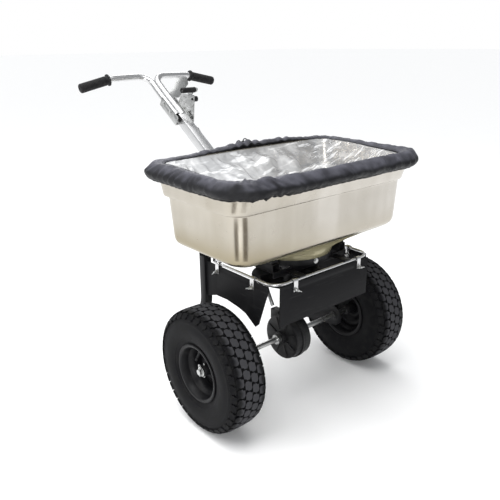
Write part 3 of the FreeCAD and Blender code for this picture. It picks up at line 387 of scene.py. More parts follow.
# %% Tyre rubber
WHEEL_RADIUS = (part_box("free_tyre")[1].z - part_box("free_tyre")[0].z) / 2
TREAD_DEPTH = 4.6
tread_rubber = Finish("tyre_rubber", (0.02, 0.02, 0.021), 0.7, Specular_IOR_Level=0.10)
across, along, up = tread_rubber.apart()
from_axle = ((along - AXLE_Y) ** 2.0 + (up - AXLE_Z) ** 2.0) ** 0.5
worn_top = from_axle.between(WHEEL_RADIUS - 3.0 * MM, WHEEL_RADIUS - 0.6 * MM)
dusty = tread_rubber.grain(18, 5).between(0.40, 0.72)
flank = tread_rubber.mixed(dusty, (0.003, 0.003, 0.004), (0.010, 0.010, 0.010))
tread_rubber.colours(worn_top * 0.8, flank, (0.055, 0.055, 0.060))
tread_rubber.set("Roughness", 0.56 + dusty * 0.16 + worn_top * 0.12)
tread_rubber.bump(tread_rubber.grain(0.9, 3), 0.06)

# %% [markdown]
# ## Cloth and clear sheet
# The rain cover's border is coated woven cloth: a fine plain weave with a slight gloss from its coating.
# Waves along the three directions are added as a bump, so that the weave shows whichever way the cloth faces.

# %% Coated cloth
cloth = Finish("coated_cloth", (0.02, 0.02, 0.023), 0.5, Specular_IOR_Level=0.25)
THREADS = 330.0
warp, weft, rise = (
    cloth.wire.node("ShaderNodeTexWave", {"bands_direction": way}, {"Vector": cloth.place, "Scale": THREADS})
    for way in "XYZ")
weave = warp * 0.4 + weft * 0.4 + rise * 0.4
facing = cloth.wire.node("ShaderNodeNewGeometry", output="Normal")
_, _, facing_up = cloth.apart(facing)
# Painted light and shade: the sides that face up, above the fold, are painted paler in uneven patches, as
# if lit; what is tucked under is painted black, as if in shade.
_, _, cloth_up = cloth.apart()
above_fold = (cloth_up + cloth.grain(60, 3) * 0.020).between(0.712, 0.726)
painted_lit_top = facing_up.between(0.15, 0.9) * above_fold * (0.45 + cloth.grain(34, 4).between(0.3, 0.7) * 0.55)
cloth.colours(painted_lit_top + weave * 0.06, (0.003, 0.003, 0.004), (0.088, 0.088, 0.108))
cloth.set("Roughness", 0.40 + weave * 0.12)
cloth.bump(weave, 0.14)

# %% [markdown]
# The window is clear flexible vinyl. Old vinyl is milky in patches, and it shines sharply on its creases.
# White streaks are painted highlights of those creases, and the front left of the sheet is painted whiter as a
# painted highlight. Alpha carries the milkiness and the painted highlights, because the clear sheet is thin
# and hardly bends light.

# %% Clear vinyl
vinyl = Finish("clear_vinyl", (0.80, 0.81, 0.82), 0.10, Specular_IOR_Level=0.9)
milky = vinyl.grain(60, 3).between(0.38, 0.66)
# Painted highlights: thin white streaks, in colour and in alpha, for the shine along the creases.
streaks = [vinyl.grain(size_mm, 2, vinyl.stretched(1, 5, 1, turn)).between(0.60, 0.70)
           for turn, size_mm in ((0.5, 102), (-0.7, 78), (1.5, 120))]
painted_highlight_creases = vinyl.wire.sum("MAXIMUM", vinyl.wire.sum("MAXIMUM", streaks[0], streaks[1]), streaks[2])
across, along, _ = vinyl.apart()
# Painted highlight: the front left of the window is painted whiter and less clear.
painted_highlight_front_left = (1.0 - across.between(-0.20, 0.16)) * (1.0 - along.between(-0.16, 0.22))
vinyl.set("Alpha", 0.26 + milky * 0.16 + painted_highlight_creases * 0.34 + painted_highlight_front_left * 0.30)
vinyl.set("Roughness", 0.08 + vinyl.grain(16, 3) * 0.10)
vinyl.colours(milky * 0.5 + painted_highlight_creases * 0.5, (0.72, 0.73, 0.75), (0.97, 0.97, 0.97))
vinyl.bump(vinyl.grain(9, 3) + painted_highlight_creases * 0.6, 0.5)

FINISHES = {
    "stainless": satin, "bright_tube": bright, "zinc": zinc, "gear_steel": steel, "black_paint": powder,
    "black_plastic": moulded, "black_rubber": rubber, "tyre_rubber": tread_rubber,
    "cover_fabric": cloth, "clear_vinyl": vinyl,
}
print("finishes", sorted(FINISHES))

# %% [markdown]
# ## Finishes for the fixed nodes
# Each node of the frame names its material slot, so the whole machine gets its finishes in one loop. The
# deflectors are sheet and not mouldings, so they take the matt sheet, and the rod and its clips are polished.

# %% Assign the finishes
OWN_FINISH = {"deflector_rod": bright, "rod_clips": bright}
OWN_FINISH.update({name: matt for name in frame["nodes"] if name.endswith("deflector")})
for entry in frame["record"]["subparts"]:
    node = frame["nodes"][entry["node"]]
    finish = OWN_FINISH.get(entry["node"], FINISHES[entry["material_slot"]])
    node.data.materials.clear()
    node.data.materials.append(finish.material)

# %% [markdown]
# ## Building pieces
# Four helpers make almost every piece: a mesh from rings of points, a turned piece, a tube along points and a
# softened copy of a fixed node. Real edges are never sharp, and a millimetre of bevel catches the light
# that tells the eye where a part ends. A softened copy stands for its node, which stays for the mechanics.

# %% Mesh helpers


def piece(name, points, faces, finish, body, smooth=True):
    """A mesh object with a finish that rides on a body, or on none yet."""
    mesh = bpy.data.meshes.new(name)
    mesh.from_pydata([tuple(point) for point in points], [], faces)
    mesh.validate()
    mesh.update()
    obj = add_object(name, mesh)
    mesh.materials.append(finish.material)
    if smooth:
        mesh.shade_smooth()
    if body:
        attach(obj, body)
    return obj


def apply_modifiers(obj):
    """Bake an object's modifiers into its mesh."""
    bpy.context.view_layer.update()
    graph = bpy.context.evaluated_depsgraph_get()
    mesh = bpy.data.meshes.new_from_object(obj.evaluated_get(graph))
    obj.modifiers.clear()
    obj.data = mesh


def rings_to_faces(rings, per_ring, closed_across=True, closed_along=False):
    """Quads between rings that have the same number of points."""
    faces = []
    for ring in range(rings if closed_along else rings - 1):
        following = (ring + 1) % rings
        for index in range(per_ring if closed_across else per_ring - 1):
            beside = (index + 1) % per_ring
            faces.append((ring * per_ring + index, ring * per_ring + beside,
                          following * per_ring + beside, following * per_ring + index))
    return faces


def add_solid(faces, start, rings, per_ring, bottom=True):
    """The faces of a solid of rings whose first point has the number start."""
    faces += [tuple(start + index for index in face) for face in rings_to_faces(rings, per_ring)]
    if bottom:
        faces.append(tuple(start + k for k in reversed(range(per_ring))))
    faces.append(tuple(start + (rings - 1) * per_ring + k for k in range(per_ring)))


def turned(name, profile, centre, axis, finish, body, steps=64, closed=True):
    """A piece made on the lathe: a profile of (along, radius) in millimetres is turned about the axis."""
    main = Vector(axis).normalized()
    side = main.orthogonal().normalized()
    other = main.cross(side)
    points = []
    for step in range(steps):
        angle = 2 * math.pi * step / steps
        out = side * math.cos(angle) + other * math.sin(angle)
        points += [Vector(centre) + main * (a * MM) + out * (r * MM) for a, r in profile]
    return piece(name, points, rings_to_faces(steps, len(profile), closed, True), finish, body)


def softened(node, body, width_mm):
    """A copy of a fixed node with its sharp edges eased, which stands for the node."""
    mesh = frame["nodes"][node].data.copy()
    obj = add_object(node + "_eased", mesh)
    work = bmesh.new()
    work.from_mesh(mesh)
    bmesh.ops.remove_doubles(work, verts=work.verts, dist=1e-5)
    bmesh.ops.dissolve_limit(work, angle_limit=math.radians(1.0), verts=work.verts, edges=work.edges)
    work.to_mesh(mesh)
    work.free()
    bevel = obj.modifiers.new("ease", "BEVEL")
    bevel.width = width_mm * MM
    bevel.segments = 2
    bevel.limit_method = "ANGLE"
    bevel.angle_limit = math.radians(40)
    bevel.harden_normals = True
    mesh.shade_smooth()
    apply_modifiers(obj)
    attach(obj, body)
    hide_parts(node)


# %% Tubes and smooth lines


def smooth_line(points, steps=8, closed=False):
    """Points on a smooth curve through the given ones."""
    count = len(points)
    spans = count if closed else count - 1
    line = []
    for index in range(spans):
        before = points[(index - 1) % count] if closed or index else points[0]
        here, there = points[index % count], points[(index + 1) % count]
        after = points[(index + 2) % count] if closed or index + 2 < count else points[-1]
        for step in range(steps):
            t = step / steps
            line.append(0.5 * (2 * here + (there - before) * t
                               + (2 * before - 5 * here + 4 * there - after) * t * t
                               + (3 * here - before - 3 * there + after) * t ** 3))
    if not closed:
        line.append(points[-1])
    return line


def tube(name, line, radius_mm, finish, body, sides=12, closed=False):
    """A round tube along a line of points."""
    points, count = [], len(line)
    up = Vector((0, 0, 1))
    for index, point in enumerate(line):
        ahead = line[(index + 1) % count] if closed or index + 1 < count else point
        behind = line[index - 1] if closed or index else point
        along = (ahead - behind).normalized()
        side = along.cross(up)
        if side.length < 0.05:
            side = along.cross(Vector((0, 1, 0)))
        side.normalize()
        other = side.cross(along).normalized()
        up = other
        for k in range(sides):
            angle = 2 * math.pi * k / sides
            points.append(point + (side * math.cos(angle) + other * math.sin(angle)) * radius_mm * MM)
    faces = rings_to_faces(count, sides, True, True) if closed else []
    if not closed:
        add_solid(faces, 0, count, sides)
    return piece(name, points, faces, finish, body)


def join(name, objs, finish, body):
    """Several pieces as one."""
    points, faces = [], []
    for obj in objs:
        faces += [tuple(index + len(points) for index in face.vertices) for face in obj.data.polygons]
        points += [vertex.co.copy() for vertex in obj.data.vertices]
        bpy.data.objects.remove(obj)
    return piece(name, points, faces, finish, body)


# %% [markdown]
# ## Tyres
# A turf tyre has a round shoulder and a shallow pattern of small blocks that grip a lawn without tearing it.
# The carcass is turned from a smooth section. The blocks are built on the same section: each one is an
# outline laid on the surface, raised, and narrowed at the top as the mould makes it. Rows are set half a
# pitch apart, so the blocks lock like bricks.

# %% The tyre's section
BEAD, FLANK = 48.0, 58.6
CROWN = WHEEL_RADIUS / MM - TREAD_DEPTH
OUTSIDE = [(BEAD, 76.3), (BEAD, 82), (48.6, 87), (52.5, 95), (53.6, 98), (54.2, 99), (57.2, 110), (58.5, 120),
           (58.6, 130), (57.4, 141), (57.0, 145), (57.0, 147), (54.6, 155), (50.0, 163.5), (44.0, 169),
           (34.0, 172), (20.0, 173.1), (0.0, CROWN)]
half = smooth_line([Vector((x, r, 0)) for x, r in OUTSIDE], 3)
outer_section = [(p.x, p.y) for p in half] + [(-p.x, p.y) for p in reversed(half[:-1])]
inner_section = [(-40, 76.5), (-50, 108), (-51, 134), (-38, 164), (0, 167),
                 (38, 164), (51, 134), (50, 108), (40, 76.5)]


def on_section(distance):
    """Place and outward normal on the section, this many millimetres from the crown."""
    side = 1 if distance >= 0 else -1
    left = abs(distance)
    line = list(reversed(half))
    for here, there in zip(line, line[1:]):
        step = (there - here).length
        if step >= left and step > 0:
            place = here.lerp(there, left / step)
            along = (there - here).normalized()
            return Vector((place.x * side, place.y, 0)), Vector((-along.y * side, along.x, 0))
        left -= step
    return Vector((line[-1].x * side, line[-1].y, 0)), Vector((side, 0, 0))


# %% Tread blocks
PITCHES = 38
# Each row's distance from the crown, its blocks' width and their length round the tyre, in millimetres.
ROWS = ((-54, 16, 25.4), (-34, 21.5, 26.2), (-11.3, 21.6, 27.0),
        (11.3, 21.6, 27.0), (34, 21.5, 26.2), (54, 16, 25.4))
# A block's outline, as shares of its half width and half length: a waisted shape that locks with the next.
BLOCK = ((-1.0, -0.62), (-0.62, -1.0), (0.22, -1.0), (0.42, -0.72), (1.0, -0.60),
         (1.0, 0.62), (0.62, 1.0), (-0.22, 1.0), (-0.42, 0.72), (-1.0, 0.60))
# A block's rings: the height over the carcass, sunk at its foot, and the share of its outline.
BLOCK_RINGS = ((-1.2, 1.0), (3.7, 0.95), (4.5, 0.87))
TOP_GAP = 0.15


def tread_point(centre_x, distance, turn_deg, height_mm):
    """A point of the tread: across by distance from the crown, around by angle, out by height."""
    place, out = on_section(distance)
    spot = place + out * height_mm
    angle = math.radians(turn_deg)
    radius = min(spot.y, WHEEL_RADIUS / MM - TOP_GAP) * MM
    reach = max(-FLANK, min(FLANK, spot.x)) * MM
    return Vector((centre_x + reach, AXLE_Y + radius * math.cos(angle), AXLE_Z + radius * math.sin(angle)))


def tread(name, centre_x, body):
    points, faces = [], []
    for row, (place, width, length) in enumerate(ROWS):
        radius = on_section(place)[0].y
        for pitch in range(PITCHES):
            middle = (pitch + 0.5 * (row % 2)) * 360 / PITCHES
            start = len(points)
            for height, share in BLOCK_RINGS:
                for across_share, along_share in BLOCK:
                    distance = place + across_share * share * width / 2
                    swing = math.degrees(along_share * share * length / 2 / radius)
                    points.append(tread_point(centre_x, distance, middle + swing, height))
            add_solid(faces, start, len(BLOCK_RINGS), len(BLOCK), bottom=False)
    return piece(name, points, faces, tread_rubber, body, smooth=False)


# %% Both tyres
for node, body in (("drive_tyre", "axle"), ("free_tyre", "free_wheel")):
    low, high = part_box(node)
    centre = ((low.x + high.x) / 2, AXLE_Y, AXLE_Z)
    section = outer_section + inner_section
    carcass = turned(node + "_carcass", section, centre, (1, 0, 0), tread_rubber, body, 128)
    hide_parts(node)
    blocks = tread(node + "_tread", centre[0], body)
    print(node, "blocks", len(ROWS) * PITCHES, "faces", len(blocks.data.polygons))

# %% [markdown]
# ## Rims
# The rims are pressed steel halves: a rolled flange holds each bead, the well drops between them and a dished
# disc carries the hub tube. All of it is round, so barrel, dish and hub are lathe profiles, painted black, and
# a short rubber valve stem stands in the well. The barrel is the same on both sides, so half of it is written.

# %% Both rims
RIM_OUTSIDE = [(-51.2, 76), (-52.4, 80), (-51.8, 84), (-49.6, 84.2), (-48.8, 81), (-48.6, 76.5), (-46, 75.4),
               (-27, 75.0), (-22, 72), (-19, 64.5), (0, 64)]
RIM_INSIDE = [(49, 73.2), (29, 72.6), (24, 70), (20, 62.2), (0, 61.6)]
DISH = [(6, 16), (6.4, 30), (5.5, 36), (0, 42), (-5, 50), (-6.4, 56), (-6.5, 62.4), (-9, 62.4), (-9, 56),
        (-7.6, 49), (-2.6, 41), (2.6, 35), (3.2, 30), (3, 16)]
HUB_REACH, HUB_RADIUS = 31, 16
VALVE = [(0, 5.6), (3, 5.4), (6, 3.8), (17, 3.4), (17.2, 2.9), (18, 2.9), (18.4, 3.6),
         (25, 3.5), (26, 2.6), (26, 0.2)]


def both_sides(half):
    """Half a profile that ends in the middle, and its mirror image."""
    return half + [(-x, radius) for x, radius in reversed(half[:-1])]


def rim(node, body, side, bore_mm):
    low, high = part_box(node)
    centre = Vector(((low.x + high.x) / 2, AXLE_Y, AXLE_Z))
    profile = both_sides(RIM_OUTSIDE) + both_sides(RIM_INSIDE)
    barrel = turned(node + "_barrel", profile, centre, (1, 0, 0), powder, body, 96)
    dish = [(x * side, radius) for x, radius in DISH]
    turned(node + "_dish", dish, centre, (1, 0, 0), powder, body, 96)
    hub = [(-HUB_REACH, bore_mm), (-HUB_REACH, HUB_RADIUS - 1), (1 - HUB_REACH, HUB_RADIUS),
           (HUB_REACH - 1, HUB_RADIUS), (HUB_REACH, HUB_RADIUS - 1), (HUB_REACH, bore_mm)]
    turned(node + "_hub", hub, centre, (1, 0, 0), powder, body, 48)
    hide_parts(node)
    valve_foot = centre + Vector((side * 36 * MM, 0, 61.5 * MM))
    turned(node + "_valve", VALVE, valve_foot, (side * 0.55, 0, -0.83), rubber, body, 24, closed=False)


rim("drive_rim", "axle", -1, 8.05)
rim("free_rim", "free_wheel", 1, 11.05)

# %% [markdown]
# ## Hopper
# The hopper is drawn from one stainless sheet: a wide band at the top, a step, nearly upright walls, a rounded
# bottom edge, a shallow pan and a short neck that stands over the outlet cup. It is built as rings of rounded
# rectangles, down the outside and back up the inside, because one shell with a true thickness shows a real rim
# and lets the light into the tub.

# %% The hopper's rings
CORNER_STEPS = 10
# Height, half width, front, back and corner radius of each ring, from the rim down the outside.
SHELL = [
    (723.6, 334.5, 176.8, 196.8, 52), (722, 335.6, 177.6, 197.6, 53), (719, 335.4, 177.2, 197.2, 53),
    (700, 333.2, 171.5, 192.8, 52), (676, 330.8, 164.5, 187.2, 50), (656, 328.8, 158.8, 182.2, 49),
    (647, 327.8, 156.0, 179.9, 48), (644.4, 327.0, 154.4, 178.8, 47), (643.2, 324.6, 153.0, 176.4, 46),
    (642.8, 320.0, 151.8, 171.5, 45), (642.0, 317.4, 151.0, 168.9, 45), (639.5, 316.3, 150.6, 167.8, 45),
    (600, 314.4, 149.0, 164.1, 44), (560, 312.4, 147.2, 160.4, 43), (530, 310.9, 145.8, 157.7, 42),
    (521, 309.4, 144.4, 156.2, 42), (514.5, 306.0, 141.4, 153.0, 41), (509.5, 300.2, 137.2, 147.2, 40),
    (506, 292.4, 132.8, 139.4, 38), (503.6, 276.0, 129.8, 133.4, 37), (501, 226.0, 127.5, 129.6, 60),
    (496, 176.0, 125.4, 126.2, 84), (490, 147.0, 123.2, 123.6, 100), (483.6, 130.0, 121.4, 121.4, 112),
    (476, 121.6, 119.8, 119.8, 117), (464.5, 119.3, 119.3, 119.3, 118.4),
]


def ring_of(height, half_width, front, back, corner):
    """Points round a rounded rectangle at one height, starting in the back right corner."""
    points = []
    corners = ((half_width - corner, back - corner, 0), (corner - half_width, back - corner, 90),
               (corner - half_width, corner - front, 180), (half_width - corner, corner - front, 270))
    for middle_x, middle_y, start in corners:
        for step in range(CORNER_STEPS + 1):
            angle = math.radians(start + 90 * step / CORNER_STEPS)
            x, y = middle_x + corner * math.cos(angle), middle_y + corner * math.sin(angle)
            points.append(at(x, y, height))
    return points


WALL, MIN_CORNER = 1.6, 20
STEP_RING, FUNNEL_RINGS = 8, len(SHELL) - 2
OUTLET_BORE, NECK_BORE = 102, 118.2
NECK_END, CUP_TOP = 464.5, 482.6
inside = [
    (height + (WALL if index > STEP_RING else 0), half_width - WALL, front - WALL, back - WALL,
     max(corner - WALL, MIN_CORNER))
    for index, (height, half_width, front, back, corner) in enumerate(SHELL[:FUNNEL_RINGS])
]
# Below the funnel the neck stands over the outlet cup, and a flat lip rests on the cup's top.
neck = [(height, bore, bore, bore, bore - 1)
        for height, bore in ((NECK_END, NECK_BORE), (CUP_TOP, NECK_BORE), (CUP_TOP, OUTLET_BORE),
                             (CUP_TOP + 1.4, OUTLET_BORE))]
rings = [ring_of(*ring) for ring in SHELL + neck + inside[::-1]]
shell_points = [point for ring in rings for point in ring]
shell_faces = rings_to_faces(len(rings), len(rings[0]), True, True)
hopper = piece("hopper_shell", shell_points, shell_faces, satin, "frame")
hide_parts("hopper")
print("hopper shell rings", len(rings), "points", len(shell_points))

# %% [markdown]
# ## Rain cover
# The cover is a sewn cloth border with a window of clear vinyl. The border slopes out over the rim, turns
# at a soft fold and tucks back under, where an elastic hem grips the hopper. So its upper side catches the
# light and its lower side is dark. The border is a strip swept round four outlines: the window's edge, the
# rim, the fold and the hem. Slack cloth makes folds, so noise pushes the strip out, more where it hangs free.

# %% Outlines of the cover
SIDE_STEPS, END_STEPS, TURN_STEPS = 150, 64, 24
STATIONS = 2 * SIDE_STEPS + 2 * END_STEPS + 4 * TURN_STEPS
# Half width, front, back, and the radii of the back right, back left, front left and front right corners.
WINDOW_EDGE = (311, 148, 176, (40, 34, 62, 40))
OVER_RIM = (338, 181, 200, (56, 42, 70, 56))
FOLD = (357, 206, 208, (84, 24, 112, 84))
HEM = (343, 188, 203, (70, 44, 86, 70))


def outline(half_width, front, back, radii):
    """The same number of points on each side and corner, so that outlines match point by point."""
    arcs = []
    places = ((1, back), (-1, back), (-1, -front), (1, -front))
    for index, ((side, y), turn_mm) in enumerate(zip(places, radii)):
        middle_x, middle_y = side * (half_width - turn_mm), y - math.copysign(turn_mm, y)
        angles = [math.radians(90 * index + 90 * step / TURN_STEPS) for step in range(TURN_STEPS + 1)]
        arcs.append([(middle_x + turn_mm * math.cos(a), middle_y + turn_mm * math.sin(a)) for a in angles])
    points = []
    for index, arc in enumerate(arcs):
        following = arcs[(index + 1) % 4][0]
        steps = SIDE_STEPS if index % 2 == 0 else END_STEPS
        points += arc[:-1]
        for step in range(steps):
            share = step / steps
            points.append((arc[-1][0] + (following[0] - arc[-1][0]) * share,
                           arc[-1][1] + (following[1] - arc[-1][1]) * share))
    return points


OUTLINES = [outline(*values) for values in (WINDOW_EDGE, OVER_RIM, FOLD, HEM)]
# The section: a place along the outlines (0 the window's edge, 1 the rim, 2 the fold, 3 the hem), the height
# and how far the folds move it.
SECTION = [(0.0, 726.5, 0.3), (0.12, 728.6, 0.5), (0.35, 729.6, 0.8), (0.6, 729.8, 0.9), (0.85, 729.2, 1.0),
           (1.05, 727.4, 1.1), (1.25, 724.4, 1.2), (1.45, 720.4, 1.4), (1.65, 715.6, 1.6), (1.82, 710.6, 1.8),
           (1.94, 705.8, 1.9), (2.0, 701.0, 1.9), (2.05, 696.4, 1.8), (2.2, 692.2, 1.6), (2.45, 688.6, 1.4),
           (2.75, 686.2, 1.1), (3.0, 684.6, 0.6)]
LAST_LEVEL = 2.999
around = [0.0]
for here, there in zip(OUTLINES[2], OUTLINES[2][1:] + OUTLINES[2][:1]):
    around.append(around[-1] + math.dist(here, there))
PERIMETER = around[-1]
# The folds in millimetres: how far each kind moves the cloth out, and how far it lifts it.
LONG_OUT, CREASE_OUT, GATHER_OUT, PULL_IN = 3.4, 2.0, 1.6, 1.2
LONG_LIFT, CREASE_LIFT, SMALL_LIFT = 2.6, 0.9, 0.6
BUNCH_LIFT, BUNCH_CREASE, BUNCH_OUT = 4.5, 9.0, 7.0
RUFFLE_LIFT, RUFFLE_CREASE = 11.0, 18.0


def near(value, middle, width, power=2):
    """1 at the middle, falling towards 0 past the width."""
    return math.exp(-((value - middle) / width) ** power)


def edge_sag(y):
    """How far the window's weight draws the border's inner edge down, most of all at the front."""
    return 3 + 11 * min(1.0, max(0.0, (60 - y) / 190))


def border_point(station, place, height, push):
    """One point of the border with its folds; a station may lie between two of the outlines' points."""
    low, share = int(station) % STATIONS, station % 1.0
    level = int(min(place, LAST_LEVEL))
    ends = [Vector(line[low]).lerp(Vector(line[(low + 1) % STATIONS]), share)
            for line in OUTLINES[level:level + 2]]
    spot = ends[0].lerp(ends[1], place - level)
    s = around[low] + (around[low + 1] - around[low]) * share
    outward = Vector((spot.x / 2.2, spot.y)).normalized()
    hang = max(0.0, place - 1.0) / 2
    wander = 12.0 * noise.noise((s / 90, place, 4.0))
    long_fold = noise.noise(((s + wander) / 58, place / 2.6, 0.7))
    crease = 1 - abs(noise.noise(((s + wander) / 27, place / 2.2, 5.1))) * 3.4
    small_crease = 1 - abs(noise.noise((s / 12 + place, place / 1.2, 8.6))) * 3.0
    gather = math.sin((s + 12 * noise.noise((s / 70, 1.0, 9.0))) / 3.4)
    out = LONG_OUT * long_fold + CREASE_OUT * crease * hang + GATHER_OUT * gather * max(0.0, place - 2.1)
    out = push * (out - PULL_IN * hang)
    lift = LONG_LIFT * noise.noise((s / 42, place * 1.1, 11.0))
    lift = push * (lift + CREASE_LIFT * crease + SMALL_LIFT * small_crease)
    # The cloth bunches at the front left corner and stands up in a ruffle along the back.
    bunch = near(spot.x, -272, 70) * near(spot.y, -172, 60)
    lift += bunch * (BUNCH_LIFT + BUNCH_CREASE * noise.noise((s / 15, place * 1.6, 2.0)))
    out += bunch * BUNCH_OUT * noise.noise((s / 17, place * 1.3, 6.0))
    ruffle = near(spot.y, 190, 22) * near(spot.x, 30, 190, 4) * max(0.0, 1 - hang * 1.6)
    lift += ruffle * (RUFFLE_LIFT + RUFFLE_CREASE * abs(noise.noise((s / 34, 2.0, 0.0))))
    sag = max(0.0, 1 - place) ** 1.5 * edge_sag(spot.y)
    return at(spot.x + outward.x * out, spot.y + outward.y * out, height + lift - sag)


# %% Cloth border
border_points = [border_point(station, *row) for station in range(STATIONS) for row in SECTION]
border_faces = rings_to_faces(STATIONS, len(SECTION), False, True)
border = piece("cover_border_cloth", border_points, border_faces, cloth, "cover")
border_area = sum(face.area for face in border.data.polygons)
thick = border.modifiers.new("cloth_thickness", "SOLIDIFY")
thick.thickness = 0.8 * MM
thick.offset = 0
apply_modifiers(border)
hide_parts("cover_border")
print("border area", round(border_area, 4), "m2, perimeter", round(PERIMETER), "mm")

# %% [markdown]
# The hem is a folded edge with elastic inside, so it reads as a fat, gathered cord. The window is sewn to
# the border with a lock stitch: short, square bars of thread at an even step, half sunk in the cloth.

# %% Hem and stitches
hem_line = [border_point(station, 2.98, 685.0, 0.6) for station in range(STATIONS)]
hem = tube("cover_hem", hem_line, 2.4, cloth, "cover", 10, True)

STITCH_STEP = 6.0
STITCH_ROWS = ((0.10, 729.2, 0.5), (0.22, 730.0, 0.62))
THREAD_RADIUS = 0.5
stitch_points, stitch_faces = [], []
for place, height, push in STITCH_ROWS:
    for number in range(int(PERIMETER / STITCH_STEP)):
        ends = [border_point((number + part) * STITCH_STEP / PERIMETER * STATIONS, place, height, push)
                for part in (0.15, 0.7)]
        along_stitch = (ends[1] - ends[0]).normalized()
        side = along_stitch.cross(Vector((0, 0, 1))).normalized()
        start = len(stitch_points)
        for end in ends:
            for k in range(4):
                angle = math.pi / 2 * k
                out = side * math.cos(angle) + Vector((0, 0, 1)) * math.sin(angle)
                stitch_points.append(end + out * THREAD_RADIUS * MM)
        add_solid(stitch_faces, start, 2, 4)
thread = Finish("grey_thread", (0.09, 0.09, 0.095), 0.7)
thread.colours(thread.grain(3), (0.07, 0.07, 0.075), (0.13, 0.13, 0.135))
stitches = piece("cover_stitches", stitch_points, stitch_faces, thread, "cover")
print("stitches", len(stitch_faces) // 6)

# %% [markdown]
# The window is cut larger than its opening, so it can only lie in creases, and its own weight lets it sag
# into the tub. Noise draws the broad sag and the puffs, and then a cloth simulation buckles the sheet: its
# edge is pinned to the border and it grows by a few percent. The result is applied, so the creases are plain
# mesh.

# %% Vinyl window
COLUMNS, LINES = 116, 60
SEAM_HEIGHT, SEAM_LAP = 727.6, 1.5
SAG, PUFF = 26.0, 48
window_half, window_front, window_back, window_turns = WINDOW_EDGE
window_middle = (window_back - window_front) / 2
window_reach = (window_back + window_front) / 2
window_points, pinned = [], []
for line in range(LINES):
    for column in range(COLUMNS):
        u, v = column / (COLUMNS - 1) * 2 - 1, line / (LINES - 1) * 2 - 1
        x, y = u * (window_half + SEAM_LAP), v * (window_reach + SEAM_LAP)
        # Round the corners: points beyond the corner circle are drawn back onto it.
        quarter = (1 if x < 0 else 0) if y > 0 else (2 if x < 0 else 3)
        turn_mm = window_turns[quarter]
        over_x, over_y = abs(x) - window_half + turn_mm, abs(y) - window_reach + turn_mm
        if over_x > 0 and over_y > 0:
            pull = max(over_x, over_y) / max(math.hypot(over_x, over_y), 1e-6)
            x = math.copysign(window_half - turn_mm + over_x * pull, x)
            y = math.copysign(window_reach - turn_mm + over_y * pull, y)
        edge = line in (0, LINES - 1) or column in (0, COLUMNS - 1)
        inward = (1 - abs(u) ** 3) * (1 - abs(v) ** 3)
        broad = noise.noise((x / 120, y / 70, 0.4)) * 22 + noise.noise((x / 45, y / 38, 5.0)) * 9
        fine = noise.noise((x / 17, y / 20, 2.0)) * 2.5
        # The sheet is slack along the back, where it puffs up instead of sagging.
        puff = PUFF * near(y, 120, 44) * near(x, 10, 190, 4)
        slack = 0 if edge else inward * (broad + fine - SAG + puff)
        height = SEAM_HEIGHT - edge_sag(y + window_middle) + slack
        window_points.append(at(x, y + window_middle, height))
        if edge:
            pinned.append(len(window_points) - 1)
window_faces = rings_to_faces(LINES, COLUMNS, False)
window = piece("cover_window_vinyl", window_points, window_faces, vinyl, "cover")
group = window.vertex_groups.new(name="sewn_edge")
group.add(pinned, 1.0, "REPLACE")

# %% Crease the window
CREASE_FRAMES = 26
GROWTH = 1.035
CREASE_CLOTH = {"quality": 5, "mass": 0.2, "tension_stiffness": 25, "compression_stiffness": 25,
                "shear_stiffness": 10, "bending_stiffness": 0.6, "vertex_group_mass": "sewn_edge",
                "shrink_min": 1 - GROWTH, "shrink_max": 1 - GROWTH}
crease = window.modifiers.new("crease", "CLOTH")
for setting, value in CREASE_CLOTH.items():
    setattr(crease.settings, setting, value)
crease.settings.effector_weights.gravity = 0.05
crease.collision_settings.use_collision = False
crease.collision_settings.use_self_collision = False
crease.point_cache.frame_start, crease.point_cache.frame_end = 1, CREASE_FRAMES
for number in range(1, CREASE_FRAMES + 1):
    scene.frame_set(number)
apply_modifiers(window)
scene.frame_set(1)
window.vertex_groups.clear()
heights = [vertex.co.z / MM for vertex in window.data.vertices]
print("window heights from", round(min(heights)), "to", round(max(heights)))
ease = window.modifiers.new("ease", "SUBSURF")
ease.levels = ease.render_levels = 1
apply_modifiers(window)
window_area = sum(face.area for face in window.data.polygons)
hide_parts("cover_window")
print("window area", round(window_area, 4), "m2")

# %% [markdown]
# A draw cord tightens the hem at the back, through a small barrel lock. Its two ends and the cloth that it
# gathers make a dark knot on the ruffle. The barrel is a lathe piece, and the loops are short tubes.

# %% Cord lock at the back
LOCK_PLACE, LOCK_AXIS = (-6, 205, 738), (0.94, 0.1, 0.33)
lock_profile = [(-9, 0.4), (-9, 5.0), (-8, 6.2), (-2, 6.6), (-1.6, 5.9),
                (1.6, 5.9), (2, 6.6), (8, 6.2), (9, 5.0), (9, 0.4)]
turned("cord_lock", lock_profile, at(*LOCK_PLACE), LOCK_AXIS, moulded, "cover", 24, closed=False)
KNOT_LOOPS = (((-6, 204, 736), (-16, 207, 747), (-27, 206, 742), (-22, 204, 731), (-8, 204, 733)),
              ((-6, 204, 738), (4, 208, 750), (15, 206, 746), (14, 204, 734), (-2, 204, 732)),
              ((-14, 203, 734), (-18, 208, 728), (-12, 209, 718), (-15, 208, 708)))
loops = [tube(f"knot_loop_{index}", smooth_line([at(*place) for place in loop], 6), 1.7, cloth, "cover", 8)
         for index, loop in enumerate(KNOT_LOOPS)]
join("draw_cord_loops", loops, cloth, "cover")
